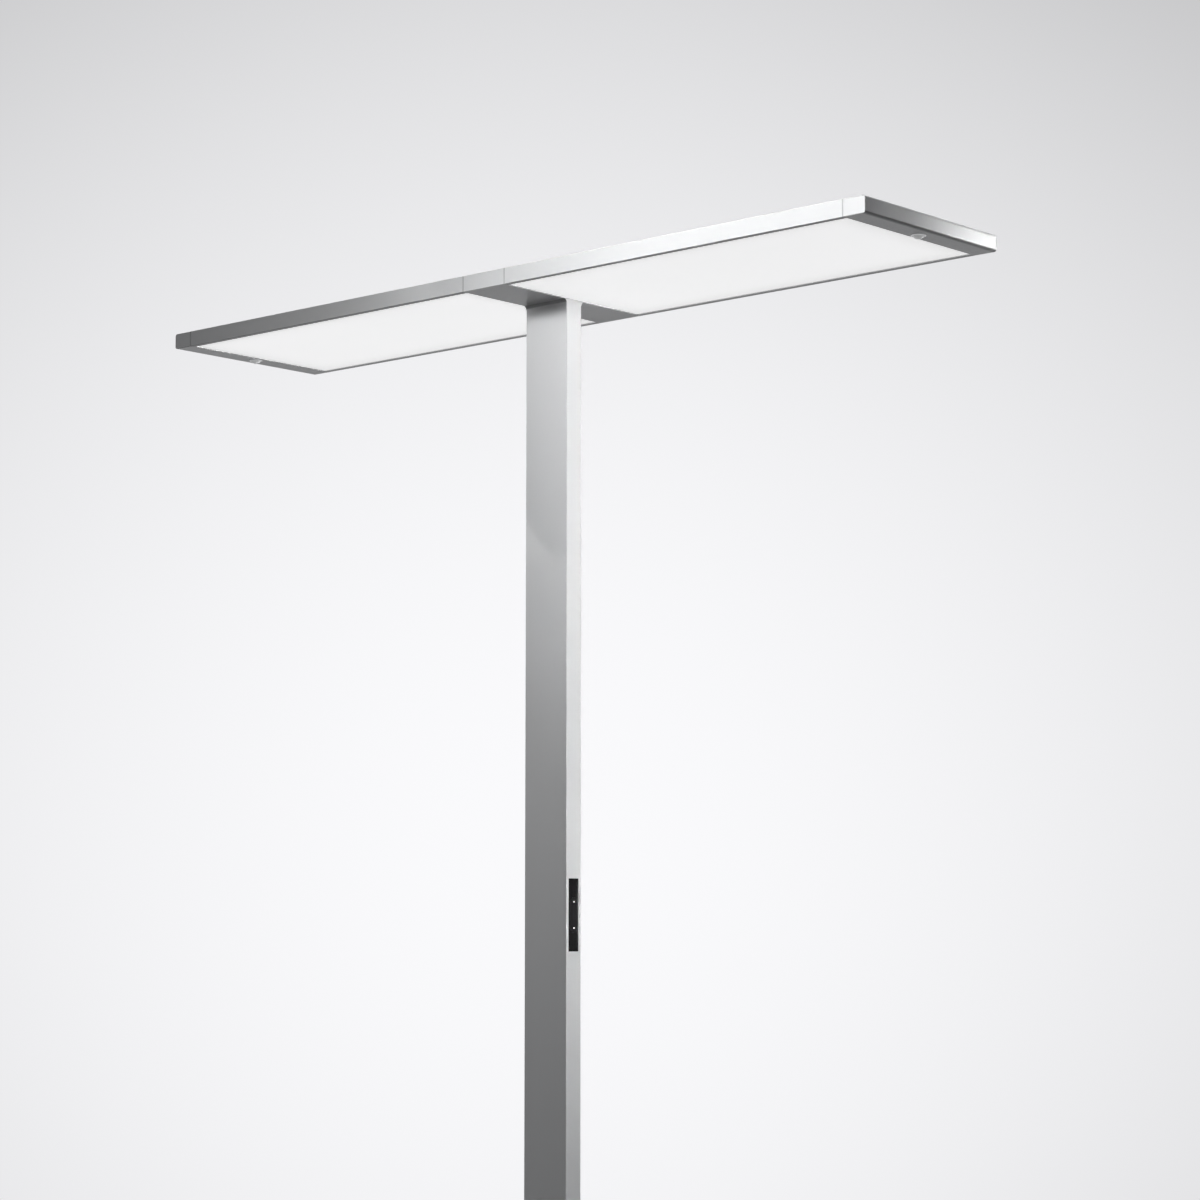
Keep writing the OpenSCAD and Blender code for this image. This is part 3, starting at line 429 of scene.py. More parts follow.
def powder_coat(name, edges):
    """Satin powder coat on the steel plate: a low orange-peel of rounded cells, and dust on top."""
    material, shade, shader = skin(name, (0.60, 0.605, 0.612), 0.42, metal=0.2, fine=1500, cloud=5,
                                   shift=0.05, rough_shift=0.12, bump=0.2, depth=3e-5, edges=edges,
                                   dust=0.10)
    peel = shade.add("TexVoronoi", {"feature": "SMOOTH_F1"}, Vector=shade.place(), Scale=620.0)
    soft = shade.noise(shade.place(), 480.0, 1.0)
    height = shade.math("ADD", peel.outputs["Distance"], soft)
    raised = shade.add("Bump", Strength=0.35, Distance=6e-5, Height=height)
    shade.put(shader.inputs["Normal"], raised.outputs[0])
    return material


def zinc_sheet(name):
    """Galvanised sheet: flat spangles of a few millimetres, each with its own tone."""
    material, shade, shader = skin(name, (0.62, 0.63, 0.65), 0.42, metal=0.85, fine=900, cloud=14,
                                   shift=0.06, rough_shift=0.15, bump=0.15, depth=2e-5)
    cells = shade.add("TexVoronoi", Vector=shade.place(), Scale=160.0).outputs["Color"]
    tone = shade.parts(cells)[0]
    spangle = shade.mix(tone, (0.52, 0.53, 0.55, 1), (0.70, 0.71, 0.73, 1))
    shade.put(shader.inputs["Base Color"], spangle)
    return material


def circuit(name, mask_colour, copper=(0.80, 0.62, 0.30)):
    """Solder mask with faint traces under it and bare pads, laid out on a small grid."""
    material, shade, shader = skin(name, mask_colour, 0.34, fine=1800, cloud=30, shift=0.05,
                                   rough_shift=0.1, bump=0.1, depth=1e-5)
    here = shade.place()
    bricks = shade.add("TexBrick", {"offset": 0.5}, Vector=here, Scale=90.0)
    for key, value in (("Mortar Size", 0.06), ("Brick Width", 0.9), ("Row Height", 0.35)):
        bricks.inputs[key].default_value = value
    trace = shade.math("MULTIPLY", bricks.outputs["Fac"], 0.35)
    dark = [c * 0.78 for c in mask_colour]
    traced = shade.mix(trace, (*mask_colour, 1), (*dark, 1))
    dots = shade.add("TexVoronoi", {"feature": "F1"}, Vector=here, Scale=150.0, Randomness=0.35)
    pads = shade.step(dots.outputs["Distance"], 0.12, 0.15, 1.0, 0.0)
    shade.put(shader.inputs["Base Color"], shade.mix(pads, traced, (*copper, 1)))
    shade.put(shader.inputs["Metallic"], pads)
    return material


def lens_with_painted_glow(name):
    """The sensor's lens: milky plastic with a faint painted glow, as if it passed on the light of the
    panel beside it; it is no lamp.
    """
    material, shade, shader = skin(name, (0.86, 0.865, 0.87), 0.22, fine=3000, cloud=50, shift=0.03,
                                   bump=0.08, specular=0.9)
    # painted glow: emission on a lens that gives no light of its own
    shader.inputs["Emission Color"].default_value = (0.9, 0.905, 0.91, 1)
    shader.inputs["Emission Strength"].default_value = 0.2
    return material


def lit_mark(name):
    """A light pipe, brightest in the middle of its domed end."""
    material, shade, shader = skin(name, (0.9, 0.92, 0.94), 0.2, fine=2500, cloud=40, shift=0.02,
                                   rough_shift=0.05, bump=0.05, depth=1e-5)
    low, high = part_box("rocker_marks")
    centre = (low + high) / 2
    offset = (high.z - low.z) / 2 - (high.y - low.y) / 2
    y, z = shade.parts(shade.place(centre=centre))[1:]
    up = shade.math("SUBTRACT", shade.math("ABSOLUTE", z), offset)
    far = shade.math("ADD", shade.math("POWER", y, 2.0), shade.math("POWER", up, 2.0))
    core = shade.step(far, 0.0, (1.2 * MM) ** 2, 1.0, 0.0)
    glow = shade.mix(core, (0.45, 0.5, 0.55, 1), (1.0, 1.0, 1.0, 1))
    shade.put(shader.inputs["Emission Color"], glow)
    shader.inputs["Emission Strength"].default_value = 3.0
    return material


def make_finishes():
    """The materials of the record's slots; a slot that shows on several pieces has one for each."""
    made = {
        "folded_sheet": zinc_sheet("zinc sheet"),
        "clear_acrylic": acrylic("printed acrylic"),
        "white_film": skin("white film", (0.88, 0.88, 0.87), 0.55, fine=3800, bump=0.1)[0],
        "plain_steel": skin("zinc plate", (0.56, 0.57, 0.60), 0.33, metal=0.95, fine=2200,
                            stretch=ALONG_X, shift=0.06, bump=0.2)[0],
        "screw_steel": skin("zinc screws", (0.50, 0.51, 0.53), 0.30, metal=0.95, fine=3800, cloud=90,
                            shift=0.12, bump=0.15)[0],
        "circuit_board": circuit("white board", (0.80, 0.81, 0.77)),
        "driver_case": skin("white moulding", (0.82, 0.82, 0.80), 0.45, fine=2400, bump=0.3,
                            depth=3e-5)[0],
        "terminal_plastic": skin("grey moulding", (0.66, 0.66, 0.63), 0.48, fine=2400, bump=0.25)[0],
        "wire_sheath": skin("cable sheath", (0.60, 0.60, 0.60), 0.5, fine=1800, stretch=ALONG_X,
                            bump=0.2)[0],
        "gland_metal": skin("nickel", (0.66, 0.65, 0.63), 0.20, metal=1.0, fine=2600, cloud=60,
                            shift=0.06, rough_shift=0.12, bump=0.12)[0],
        "black_rubber": skin("rubber", (0.028, 0.028, 0.029), 0.78, fine=1600, cloud=40, shift=0.25,
                             rough_shift=0.2, bump=0.5, depth=5e-5, dust=0.12, specular=0.3)[0],
        "black_panel": skin("gloss black", (0.0035, 0.0035, 0.0037), 0.22, fine=3000, cloud=25,
                            shift=0.15, rough_shift=0.08, bump=0.05, depth=1e-5, specular=0.1)[0],
        "black_key": skin("satin black", (0.0045, 0.0045, 0.0047), 0.30, fine=3400, cloud=30,
                          shift=0.15, rough_shift=0.14, bump=0.3, depth=2e-5, specular=0.1)[0],
        "light_mark": lit_mark("lit mark"),
        "sensor_ring": skin("pale ring", (0.80, 0.80, 0.805), 0.3, metal=0.85, fine=3400, cloud=40,
                            shift=0.05, bump=0.15)[0],
        "sensor_lens": lens_with_painted_glow("milky lens with painted glow"),
        "base_steel": powder_coat("powder coat", box_edges("base_plate", 0.0012)),
    }
    return made


def finish_of(name, slot, made):
    """The material of a CAD node: drawn pieces get their own, so that grain and edges follow them."""
    if name in made:
        return made[name]
    if slot in ("satin_aluminium", "cast_aluminium"):
        if name == "column":
            # painted shade along the column's upright edges
            made[name] = anodised(name, ALONG_Z, joint_edges(name, 0.0022), EDGE_SHADE_TONE)[0]
        elif "cover" in name:
            # painted shade along the covers' edges, with dust on top
            made[name] = anodised(name, ALONG_X, box_edges(name, 0.0009), EDGE_SHADE_TONE, dust=0.08)[0]
        elif "rail" in name:
            # painted shade at the joints, on the lips' flat undersides and on lower rims, and a painted
            # highlight on upper rims
            edges = joint_edges(name, JOINT_WIDTH)
            made[name] = anodised(name, ALONG_X, edges, JOINT_SHADE_TONE, painted_rims=1.0)[0]
        elif "cap" in name:
            made[name] = cap_finish(name)
        else:
            # painted shade at the joints, in the cove under the neck, on lower rims and partly on flat
            # undersides, and a painted highlight on upper rims
            edges = joint_edges(name, JOINT_WIDTH)
            made[name] = anodised(name, CAST_GRAIN, edges, JOINT_SHADE_TONE, painted_rims=0.6)[0]
    elif slot == "opal_diffuser":
        made[name] = opal(name)
    elif slot == "clear_cover":
        made[name] = frosted_window(name)
    else:
        return made[slot]
    return made[name]


# ---- surfaces ----

SMOOTH_BELOW = math.radians(35)


def lathe(profile, steps, shape=None):
    """A surface of revolution about its own Z axis: the profile's radius and height, turned through
    steps angles. shape(radius, height, angle) may change the radius with the angle."""
    profile = np.asarray(profile, float)
    angle = np.arange(steps) * TAU / steps
    radius, angles = np.meshgrid(profile[:, 0], angle, indexing="ij")
    height = np.repeat(profile[:, 1:2], steps, axis=1)
    if shape:
        radius = shape(radius, height, angles)
    return np.stack([radius * np.cos(angles), radius * np.sin(angles), height], axis=-1)


def skin_grid(grid, ring):
    """Vertices and faces of a grid of points: closed across its second index, and along its first
    where ring is set. Faces look outwards, which the sign of the enclosed volume decides."""
    rows, columns = grid.shape[:2]
    index = np.arange(rows * columns).reshape(rows, columns)
    if ring:
        index = np.vstack([index, index[:1]])
    right = np.roll(index, -1, axis=1)
    faces = np.stack([index[:-1], right[:-1], right[1:], index[1:]], axis=-1).reshape(-1, 4)
    points = grid.reshape(-1, 3)
    a, b, c, d = (points[faces[:, i]] for i in range(4))
    volume = np.einsum("ij,ij->", a, np.cross(b, c)) + np.einsum("ij,ij->", a, np.cross(c, d))
    if volume < 0:
        faces = faces[:, ::-1]
    return points, faces


def turned_to(grid, at, axis):
    """The grid with its own Z axis turned to an axis of the lamp, and moved to a point, in mm."""
    x, y, z = grid[..., 0], grid[..., 1], grid[..., 2]
    ways = {"z": (x, y, z), "-z": (x, -y, -z), "x": (z, x, y), "-x": (-z, y, x)}
    return np.stack(ways[axis], axis=-1) + np.asarray(at, float)


def make_piece(name, shells, body, material, replaces):
    """One object from closed shells, each a grid in mm and whether it is a ring. Its doubles are
    merged, which closes seams and poles, and edges sharper than SMOOTH_BELOW stay sharp."""
    points, faces, offset = [], [], 0
    for grid, ring in shells:
        part_points, part_faces = skin_grid(grid, ring)
        points.append(part_points)
        faces.append(part_faces + offset)
        offset += len(part_points)
    mesh = bpy.data.meshes.new(name)
    mesh.from_pydata((np.vstack(points) * MM).tolist(), [], np.vstack(faces).tolist())
    shell = bmesh.new()
    shell.from_mesh(mesh)
    bmesh.ops.remove_doubles(shell, verts=shell.verts, dist=1e-6)
    shell.to_mesh(mesh)
    shell.free()
    mesh.polygons.foreach_set("use_smooth", np.ones(len(mesh.polygons), bool))
    mesh.set_sharp_from_angle(angle=SMOOTH_BELOW)
    mesh.materials.append(material)
    piece = bpy.data.objects.new(name, mesh)
    bpy.context.scene.collection.objects.link(piece)
    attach(piece, body)
    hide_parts(*replaces)


def rounded(corners, radii, steps=5):
    """An outline with each corner rounded: an arc that is tangent to the corner's two sides, its
    centre at radius / sin(half the corner's angle) along the corner's bisector."""
    corners = np.asarray(corners, float)
    out = []
    for i, radius in enumerate(radii):
        here = corners[i]
        if radius == 0:
            out.append(here[None])
            continue
        before = corners[i - 1] - here
        after = corners[(i + 1) % len(corners)] - here
        before = before / np.linalg.norm(before)
        after = after / np.linalg.norm(after)
        half = math.acos(np.clip(before @ after, -1, 1)) / 2
        middle = (before + after) / np.linalg.norm(before + after)
        centre = here + middle * radius / math.sin(half)
        start = here + before * radius / math.tan(half) - centre
        end = here + after * radius / math.tan(half) - centre
        turn = math.atan2(start[0] * end[1] - start[1] * end[0], start @ end)
        sweep = np.linspace(0, turn, steps + 1)[:, None]
        across = np.array([-start[1], start[0]])
        out.append(centre + start * np.cos(sweep) + across * np.sin(sweep))
    return np.vstack(out)


def node_mm(name):
    """Lowest and highest corner of a CAD node's box, in mm, as arrays."""
    low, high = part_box(name)
    return np.array(low) / MM, np.array(high) / MM


# ---- presence sensor ----

def sensor_pieces(side, made):
    """The ring: a profile with a rolled lip, turned about Z. The lens: a dome, tube and flange of
    one wall thickness, its outside radius lowered by fine grooves between the lens fields."""
    low, high = node_mm("sensor_ring_" + side)
    lens_low, lens_high = node_mm("sensor_lens_" + side)
    centre = (low + high) / 2
    rim = 1.2
    tube, flange = 5.0, 6.0
    face_z = low[2] + rim
    at = (centre[0], centre[1], face_z)
    outer = (high[0] - low[0]) / 2
    neck = (lens_high[0] - lens_low[0]) / 2
    bore = neck - 0.8
    lens_r, lens_h, wall = bore - 0.1, face_z - lens_low[2], 1.0
    loop = rounded(
        [(bore, -rim), (outer, -rim), (outer, 0), (neck, 0), (neck, tube), (bore, tube)],
        [0.3, 0.7, 0, 0.15, 0.1, 0.1],
    )
    make_piece("sensor_collar_" + side, [(turned_to(lathe(loop, 96), at, "z"), True)], "root",
               made["sensor_ring"], replaces=["sensor_ring_" + side])
    ball = (lens_r ** 2 + lens_h ** 2) / (2 * lens_h)
    top = math.asin(lens_r / ball)
    arc = np.linspace(0, top, 34)
    outside = np.stack([ball * np.sin(arc), ball - lens_h - ball * np.cos(arc)], axis=-1)
    inside = np.stack([(ball - wall) * np.sin(arc), ball - lens_h - (ball - wall) * np.cos(arc)], axis=-1)
    inside[:, 0] = np.minimum(inside[:, 0], lens_r - wall)
    collar = [(lens_r, tube), (neck, tube), (neck, flange), (lens_r - wall, flange)]
    profile = np.vstack([outside, collar, inside[::-1]])
    fields = np.array([0.0, 0.22, 0.47, 0.72, 0.93]) * lens_r
    deep, wide = 0.09, 0.22

    def grooves(radius, height, angle):
        skirt = (height < -0.02) & (np.arange(len(profile))[:, None] < len(arc))
        ring_gap = np.min(np.abs(radius[..., None] - fields), axis=-1)
        spokes = np.where(radius < fields[2], 6, 12)
        spoke_gap = np.abs((angle * spokes / TAU + 0.5) % 1 - 0.5) * TAU / spokes * radius
        gap = np.minimum(ring_gap, np.where(radius > fields[1], spoke_gap, 9.0))
        return radius - skirt * deep * np.exp(-((gap / wide) ** 2)) * (radius > 0.3)

    dome = turned_to(lathe(profile, 144, grooves), at, "z")
    make_piece("sensor_dome_" + side, [(dome, False)], "root", made["sensor_lens"],
               replaces=["sensor_lens_" + side])


# ---- screws ----

COVER_SCREW = (1.2, 2.7, 1.3)
BASE_SCREW = (2.7, 6.0, 3.3)
LOCATOR_SCREW = (2.4, 4.8, 2.6)
LOBES = 6
LOBE_DEPTH = 0.13


def lobed(profile, first, last):
    """A shape for lathe: between two rows of the profile the radius swells and shrinks by LOBE_DEPTH
    of itself, LOBES times a turn, which makes a driving recess."""
    rows = np.arange(len(profile))[:, None]

    def shape(radius, height, angle):
        inside = (rows >= first) & (rows <= last)
        return radius * np.where(inside, 1 + LOBE_DEPTH * np.cos(LOBES * angle), 1)

    return shape


def flat_head(shank, radius, height, length):
    """A countersunk screw from its flat head at z = 0 down: recess, flat, cone, shank and tip."""
    bit = radius * 0.52
    deep = height * 0.6
    return [
        (0, -deep), (bit * 0.8, -deep), (bit, -deep + 0.15), (bit, -0.12), (bit + 0.12, 0),
        (radius - 0.15, 0), (radius, -0.12), (radius - 0.02, -0.25), (shank, -height),
        (shank, -length + 0.5), (shank * 0.7, -length), (0, -length),
    ]


def flat_head_screws(name, places, axis, size, length, made):
    """One piece of screws of a size (shank radius, head radius, head height) at several places."""
    profile = flat_head(*size, length)
    grid = lathe(profile, 60, lobed(profile, 1, 3))
    shells = [(turned_to(grid, at, axis), False) for at in places]
    make_piece(name + "_turned", shells, "root", made["screw_steel"], replaces=[name])


def screw_pieces(made):
    """Cover screws stand where the CAD's five along each edge stand, and the base's from below."""
    for side in SIDES:
        name = "cover_screws_" + side
        low, high = node_mm(name)
        head = COVER_SCREW[1]
        xs = np.linspace(low[0] + head, high[0] - head, 5)
        ys = (low[1] + head, high[1] - head)
        places = [(x, y, high[2]) for x in xs for y in ys]
        flat_head_screws(name, places, "z", COVER_SCREW, high[2] - low[2], made)
    for name, size in (("base_screws", BASE_SCREW), ("locator_screws", LOCATOR_SCREW)):
        low, high = node_mm(name)
        xs = (low[0] + size[1], high[0] - size[1])
        ys = (low[1] + size[1], high[1] - size[1])
        places = sorted({(round(x, 4), round(y, 4), low[2]) for x in xs for y in ys})
        flat_head_screws(name, places, "-z", size, high[2] - low[2], made)


# ---- lofted pieces: loops of rounded rectangles ----

ARC = 8


def round_loop(width, height, radius, sides):
    """A rounded rectangle, centred, from its corners' middles plus the radius times the normal, with
    sides more points along each upright side. The count is the same for every size, so that loops
    of different sizes join up; with no width it folds to a line, which closes a face."""
    turn = np.linspace(0, math.pi / 2, ARC)
    out = []
    for quarter, (sx, sy) in enumerate(((1, 1), (-1, 1), (-1, -1), (1, -1))):
        angle = turn + quarter * math.pi / 2
        centre = np.array([sx * (width / 2 - radius), sy * (height / 2 - radius)])
        out.append(centre + radius * np.stack([np.cos(angle), np.sin(angle)], axis=-1))
        if quarter in (0, 2):
            continue
        first = out[-1][-1]
        last = first + np.array([0, -sy * (height - 2 * radius)])
        out.append(np.linspace(first, last, sides + 2)[1:-1])
    return np.vstack(out)


def loft(levels, sides=1, at=(0, 0)):
    """Loops in Y and Z, one for each level's (x, width, height, radius), joined along X."""
    rows = []
    for x, width, height, radius in levels:
        loop = round_loop(width, height, radius, sides) + np.asarray(at)
        rows.append(np.column_stack([np.full(len(loop), x), loop]))
    return np.array(rows)


def inset_levels(width, height, radius, steps):
    """Levels from (x, inset) pairs: the outline drawn in by each inset, down to a line or corner."""
    out = []
    for x, inset in steps:
        out.append((x, width - 2 * inset, height - 2 * inset, max(radius - inset, 0)))
    return out


def rolled(x_out, x_side, radius, count=7):
    """(x, inset) pairs of a rolled edge: a quarter circle from the side wall round to the face."""
    turn = np.linspace(0, math.pi / 2, count)
    way = 1 if x_out > x_side else -1
    return [(x_out - way * radius * (1 - math.sin(t)), radius * (1 - math.cos(t))) for t in turn]


# ---- control unit ----

def key_pieces(made):
    """The key: stadium loops up a wall, round a rolled edge and over a face with a shallow hollow
    for the finger, deepest in the middle and fading out as (1 - (z / reach) squared) squared;
    behind it the lug and two hollow posts. The marks: rods with domed ends."""
    low, high = node_mm("rocker_key")
    face = high[0]
    z_mid = (low[2] + high[2]) / 2
    width, length = high[1] - low[1], high[2] - low[2]
    half = width / 2
    back = face - 3.1
    hollow_reach, hollow_deep, hollow_start = 17.0, 0.42, 0.75
    post_wall, post_high = 1.2, 2.9
    steps = [(back, half), (back, 3.0), (back, 0.3), (back + 0.3, 0.0)]
    steps += rolled(face, face - 1, 0.7)
    steps += [(face, inset) for inset in np.linspace(1.0, half, 12)]
    grid = loft(inset_levels(width, length, half, steps), sides=40)
    on_face = np.clip((grid[..., 0] - (face - hollow_start)) / hollow_start, 0, 1)
    reach = np.clip(1 - (grid[..., 2] / hollow_reach) ** 2, 0, 1)
    grid[..., 0] -= hollow_deep * on_face * reach ** 2
    grid[..., 2] += z_mid
    lug_width, lug_height = 7.0, 4.6
    lug_steps = [(low[0], lug_height / 2), (low[0], 0.4), (low[0] + 0.4, 0), (back + 0.1, 0),
                 (back + 0.1, lug_height / 2)]
    lug_levels = inset_levels(lug_width, lug_height, 0.6, lug_steps)
    shells = [(grid, False), (loft(lug_levels, at=(0, z_mid)), False)]
    mark_low, mark_high = node_mm("rocker_marks")
    mark_r = (mark_high[1] - mark_low[1]) / 2
    offset = (mark_high[2] - mark_low[2]) / 2 - mark_r
    post_r = mark_r + post_wall
    post = rounded([(mark_r, 0), (post_r, 0), (post_r, post_high), (mark_r, post_high)], [0, 0.3, 0, 0], 4)
    dome = [(mark_r * math.sin(t), face - mark_low[0] + 0.12 - 0.35 * (1 - math.cos(t)))
            for t in np.linspace(math.pi / 2, 0, 9)]
    rod = [(0, 0.0), (mark_r, 0.0)] + dome
    marks = []
    for sign in (-1, 1):
        at = (mark_low[0], 0, z_mid + sign * offset)
        shells.append((turned_to(lathe(post, 36), at, "x"), True))
        marks.append((turned_to(lathe(rod, 36), at, "x"), False))
    make_piece("rocker_key_moulded", shells, "rocker", made["black_key"],
               replaces=["rocker_key"])
    make_piece("rocker_marks_domed", marks, "rocker", made["light_mark"],
               replaces=["rocker_marks"])


def bezel_piece(made):
    """One ring of loops: out of the key's opening, over the face with its raised frame and rolled
    edges, back round the flange, along the housing and in again."""
    low, high = node_mm("panel_bezel")
    face = high[0]
    flange = face - 1.5
    z_mid = (low[2] + high[2]) / 2
    width, height = 20.8, 104.8
    key_low, key_high = node_mm("rocker_key")
    gap, lip, sunk = 0.4, 0.25, 0.12
    hole_w = key_high[1] - key_low[1] + gap
    hole_l = key_high[2] - key_low[2] + gap
    levels = [(flange, hole_w, hole_l, hole_w / 2)]
    for x, out in rolled(face - sunk, flange, lip, 5):
        levels.append((x, hole_w + 2 * out, hole_l + 2 * out, hole_w / 2 + out))
    frame_steps = [(face - sunk, 1.25), (face - 0.09, 1.16), (face - 0.03, 1.06), (face, 0.96)]
    frame_steps += rolled(face, flange, 0.35)[::-1] + [(flange + 0.1, 0.0), (flange, 0.1)]
    levels += inset_levels(width, height, 0.9, frame_steps)
    outer = (17.7, 98.7, 0.4)
    inner = (15.5, 96.5, 0.2)
    levels += [(flange, *outer), (low[0] + 0.2, *outer), (low[0], outer[0] - 0.4, outer[1] - 0.4, 0.3)]
    levels += [(low[0], *inner), (flange, *inner)]
    make_piece("panel_bezel_moulded", [(loft(levels, sides=12, at=(0, z_mid)), True)], "root",
               made["black_panel"], replaces=["panel_bezel"])


# ---- cable gland and feet ----

def hexagon(apothem, limits):
    """A shape for lathe: the rows that limits names take the hexagon's radius, apothem over the
    cosine of the angle from the nearest flat's middle, but no more than their own limit."""

    def shape(radius, height, angle):
        flat = apothem / np.cos((angle + math.pi / 6) % (math.pi / 3) - math.pi / 6)
        for row, limit in limits.items():
            radius[row] = np.minimum(limit, flat[row])
        return radius

    return shape


def gland_pieces(made):
    """The body: a chamfered hexagon between a threaded barrel and a boss. The nut: hexagon flats
    that run out in a dome round the bore. Both are turned about the entry's axis."""
    low, high = node_mm("gland_body")
    centre = (low + high) / 2
    face = node_mm("column")[0][0]
    at = (face, centre[1], centre[2])
    pitch, barrel = 1.5, 8.0
    turns = np.arange(-8.5, -0.01, pitch / 6)
    thread = [(barrel, h) for h in turns]
    hexa = [(11.0, 0.0), (11.4, 0.3), (12.0, 0.8), (12.0, 4.2), (11.4, 4.7), (10.7, 5.0)]
    boss = [(7.0, 5.0), (7.0, 10.6), (6.7, 11.0), (5.4, 11.0), (5.4, -8.5)]
    profile = thread + hexa + boss
    first = len(thread)
    limits = {first + i: r for i, (r, h) in enumerate(hexa)}
    body_flat, nut_flat = 10.39, 8.6
    flats = hexagon(body_flat, limits)

    def body_shape(radius, height, angle):
        rows = np.arange(len(profile))[:, None] < first
        wave = np.abs((height / pitch - angle / TAU) % 1 - 0.5) * 2
        return flats(radius - np.where(rows, 0.85 * wave, 0), height, angle)

    body = turned_to(lathe(profile, 72, body_shape), at, "-x")
    make_piece("gland_body_turned", [(body, True)], "root", made["gland_metal"],
               replaces=["gland_body"])
    side = [(9.0, 5.4), (9.4, 5.8), (9.4, 10.6), (9.3, 11.4)]
    dome = [(9.0, 12.4), (8.3, 13.6), (7.3, 14.7), (6.2, 15.5), (5.2, 15.9), (4.6, 16.0), (4.2, 15.7)]
    bore = [(4.2, 12.6), (7.05, 12.0), (7.05, 5.4)]
    nut = side + dome + bore
    limits = dict(enumerate([9.0, 9.4, 9.4, 9.35]))
    dome_nut = turned_to(lathe(nut, 72, hexagon(nut_flat, limits)), at, "-x")
    make_piece("gland_nut_turned", [(dome_nut, True)], "root", made["gland_metal"],
               replaces=["gland_nut"])


def foot_piece(made):
    """Four rubber pads: a disc with two grooves in its foot and a bevelled rim, turned about Z."""
    low, high = node_mm("foot_pads")
    radius, top = 20.0, high[2]
    profile = [(0, 0), (6, 0), (6.3, 0.6), (7.7, 0.6), (8, 0), (12, 0), (12.3, 0.6), (13.7, 0.6), (14, 0),
               (radius - 0.6, 0), (radius, 0.6), (radius, top - 0.4), (radius - 0.4, top), (0, top)]
    grid = lathe(profile, 72)
    shells = [(turned_to(grid, (x, y, 0), "z"), False)
              for x in (low[0] + radius, high[0] - radius) for y in (low[1] + radius, high[1] - radius)]
    make_piece("foot_pads_moulded", shells, "root", made["black_rubber"],
               replaces=["foot_pads"])


# ---- floor, lights, backdrop ----

BACKDROP_HEADING = math.radians(132.9)
BACKDROP_HEIGHT = math.radians(1.8)
BACKDROP_TOP, BACKDROP_LEAST = 0.956, 0.56
BACKDROP_FALL, BACKDROP_WAVE, BACKDROP_WAVES = 3.1, 0.134, 7.0


FRONT = (0.3, -3.6, 2.45)
FRONT_RADIUS = 0.6


def seen_directly(shade):
    """1 for what the camera sees, itself or in gloss or glass, and 0 for light on the lamp."""
    path = shade.add("LightPath").outputs
    gloss = shade.math("MAXIMUM", path["Is Glossy Ray"], path["Is Transmission Ray"])
    return shade.math("MAXIMUM", path["Is Camera Ray"], gloss)


def make_world():
    """A pale backdrop with a broad bright patch low behind the lamp, repeated round the room. It is
    seen, but gives the lamp no light."""
    world = bpy.data.worlds.new("studio")
    bpy.context.scene.world = world
    world.use_nodes = True
    world.node_tree.nodes.clear()
    shade = Shade(world.node_tree)
    x, y, z = shade.parts(shade.add("TexCoord").outputs["Generated"])
    rise = shade.math("SUBTRACT", shade.math("ARCSINE", z), BACKDROP_HEIGHT)
    turn = shade.math("SUBTRACT", shade.math("ARCTAN2", y, x), BACKDROP_HEADING)
    fall = shade.math("MULTIPLY", shade.math("MULTIPLY", rise, rise), BACKDROP_FALL)
    lobe = shade.math("COSINE", shade.math("MULTIPLY", turn, BACKDROP_WAVES))
    side = shade.math("MULTIPLY", shade.math("SUBTRACT", 1.0, lobe), BACKDROP_WAVE)
    value = shade.math("SUBTRACT", BACKDROP_TOP, shade.math("ADD", fall, side))
    value = shade.math("MAXIMUM", value, BACKDROP_LEAST)
    tint = shade.scaled((1.0, 1.0, 1.018), value)
    back = shade.add("Background", Color=tint, Strength=seen_directly(shade))
    output = shade.add("OutputWorld")
    shade.put(output.inputs[0], back.outputs[0])


def make_floor():
    """A pale disc that fades into the backdrop at its rim; from below it can be seen through."""
    steps, rows, reach = 96, 10, 4.2
    fade_from, fade_to = 1.6, 4.1
    angle = np.arange(steps) * TAU / steps
    radius = np.linspace(0, reach, rows)[:, None]
    grid = np.stack([radius * np.cos(angle), radius * np.sin(angle), np.zeros((rows, steps))], axis=-1)
    index = np.arange(rows * steps).reshape(rows, steps)
    right = np.roll(index, -1, axis=1)
    faces = np.stack([index[:-1], index[1:], right[1:], right[:-1]], axis=-1).reshape(-1, 4)
    mesh = bpy.data.meshes.new("floor")
    mesh.from_pydata(grid.reshape(-1, 3).tolist(), [], faces.tolist())
    shell = bmesh.new()
    shell.from_mesh(mesh)
    bmesh.ops.remove_doubles(shell, verts=shell.verts, dist=1e-6)
    shell.to_mesh(mesh)
    shell.free()
    floor = bpy.data.objects.new("floor", mesh)
    bpy.context.scene.collection.objects.link(floor)
    material, shade, shader = skin("pale floor", (0.5, 0.503, 0.506), 0.7, fine=140, cloud=0.8,
                                   shift=0.015, rough_shift=0.06, bump=0.03, depth=1e-4, specular=0.2)
    glow = shade.add("Emission", Color=(0.66, 0.668, 0.672, 1), Strength=seen_directly(shade))
    lit = shade.add("AddShader")
    shade.put(lit.inputs[0], shader.outputs[0])
    shade.put(lit.inputs[1], glow.outputs[0])
    x, y = shade.parts(shade.place())[:2]
    out = shade.math("SQRT", shade.math("ADD", shade.math("POWER", x, 2.0), shade.math("POWER", y, 2.0)))
    rim = shade.step(out, fade_from, fade_to)
    hidden = shade.math("MAXIMUM", rim, shade.add("NewGeometry").outputs["Backfacing"])
    clear = shade.add("BsdfTransparent")
    both = shade.add("MixShader")
    for index, value in enumerate((hidden, lit.outputs[0], clear.outputs[0])):
        shade.put(both.inputs[index], value)
    output = next(node for node in shade.tree.nodes if node.type == "OUTPUT_MATERIAL")
    shade.put(output.inputs[0], both.outputs[0])
    mesh.materials.append(material)


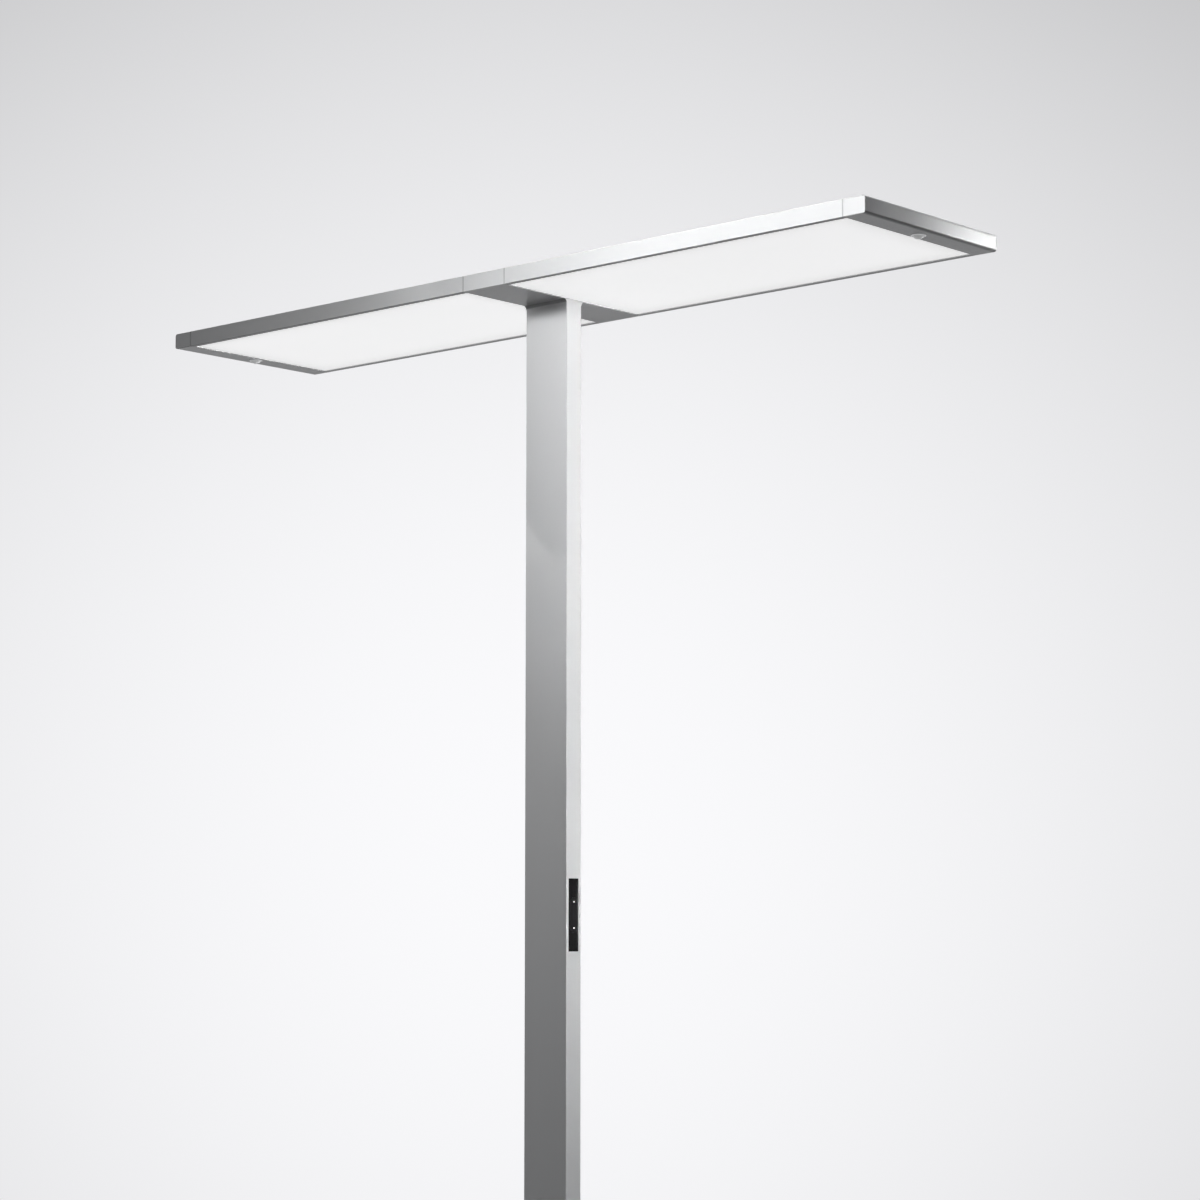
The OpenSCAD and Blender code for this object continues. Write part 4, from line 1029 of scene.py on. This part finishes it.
def aimed(name, data, at, aim, power, in_gloss):
    """Places a lamp at a point, looking at another, and hides the lamp itself from the camera."""
    data.energy = power
    lamp = bpy.data.objects.new(name, data)
    lamp.location = at
    look = np.array(aim, float) - np.array(at, float)
    heading = math.atan2(look[1], look[0]) - math.pi / 2
    pitch = math.atan2(look[2], math.hypot(look[0], look[1]))
    lamp.rotation_euler = (math.pi / 2 + pitch, 0, heading)
    lamp.visible_camera = False
    lamp.visible_glossy = in_gloss
    bpy.context.scene.collection.objects.link(lamp)


def softbox(name, at, aim, size, power, spread):
    """A rectangular lamp; spread, in degrees, narrows its beam as a grid on a softbox does."""
    data = bpy.data.lights.new(name, "AREA")
    data.shape = "RECTANGLE"
    data.size, data.size_y = size
    data.spread = math.radians(spread)
    aimed(name, data, at, aim, power, True)


def front_spot(name, aim, cone, power):
    """A big round lamp in front, at FRONT, whose beam fades from the middle of its cone to the rim;
    gloss doesn't show it."""
    data = bpy.data.lights.new(name, "SPOT")
    data.spot_size = math.radians(cone)
    data.spot_blend = 1.0
    data.shadow_soft_size = FRONT_RADIUS
    aimed(name, data, FRONT, aim, power, False)


def beside(aim, heading, distance, rise=0.0):
    """The point at a distance from another, in a heading from X in degrees, and raised."""
    turn = math.radians(heading)
    return aim[0] + distance * math.cos(turn), aim[1] + distance * math.sin(turn), aim[2] + rise


def make_lights():
    """Soft lamps in front, brightest on the head's right half; tall soft strips on the key side,
    which fade out towards the head's front corner; two narrow ones that graze the right end face;
    and even ones above, behind and at the left."""
    front_y, middle_z = -0.15, 1.94
    for name, x, cone, power in (
        ("front wide", 0.35, 34, 48),
        ("front narrow", 0.42, 9, 1400),
        ("front right", 0.55, 17, 465),
        ("front far right", 0.64, 12, 2400),
        ("front middle", 0.12, 12, 150),
    ):
        front_spot(name, (x, front_y, middle_z), cone, power)
    front_spot("column", (0.0, -0.02, 1.5), 20, 240)
    for name, y, z, height, power, spread in (
        ("key strip", 0.30, 1.55, 1.4, 1.56, 14),
        ("key middle strip", 0.30, 1.45, 0.6, 0.09, 9),
        ("key top strip", 0.20, 1.75, 0.7, 0.25, 9),
        ("low strip", 0.05, 0.80, 0.8, 0.46, 20),
    ):
        aim = (0.35, y, z)
        softbox(name, beside(aim, 24, 3.4), aim, (0.25, height), power, spread)
    for name, y, width, power, spread in (
        ("end face wide", 0.12, 0.06, 0.085, 6),
        ("end face narrow", 0.15, 0.04, 0.040, 3.5),
    ):
        aim = (0.685, y, middle_z)
        softbox(name, beside(aim, 64, 2.6, 0.25), aim, (width, 0.4), power, spread)
    softbox("overhead", (0.0, 0.0, 4.4), (0, 0, 0), (1.6, 1.6), 8.5, 110)
    softbox("head top", (0.0, 0.0, 3.6), (0, 0, 1.9), (1.5, 1.5), 0.8, 30)
    softbox("behind", (-1.6, 3.6, 2.9), (0, 0, 1.3), (1.6, 1.6), 12, 120)
    softbox("left side", (-3.8, 0.4, 2.6), (0, 0, 1.3), (1.2, 1.2), 6, 60)


# ---- the lamp ----

make_camera()
finishes = make_finishes()
for part in frame["record"]["subparts"]:
    node = nodes[part["node"]]
    node.data.materials.clear()
    node.data.materials.append(finish_of(part["node"], part["material_slot"], finishes))
for side in SIDES:
    sensor_pieces(side, finishes)
screw_pieces(finishes)
key_pieces(finishes)
bezel_piece(finishes)
gland_pieces(finishes)
foot_piece(finishes)
make_world()
make_floor()
make_lights()
bpy.context.scene.view_settings.view_transform = "Standard"
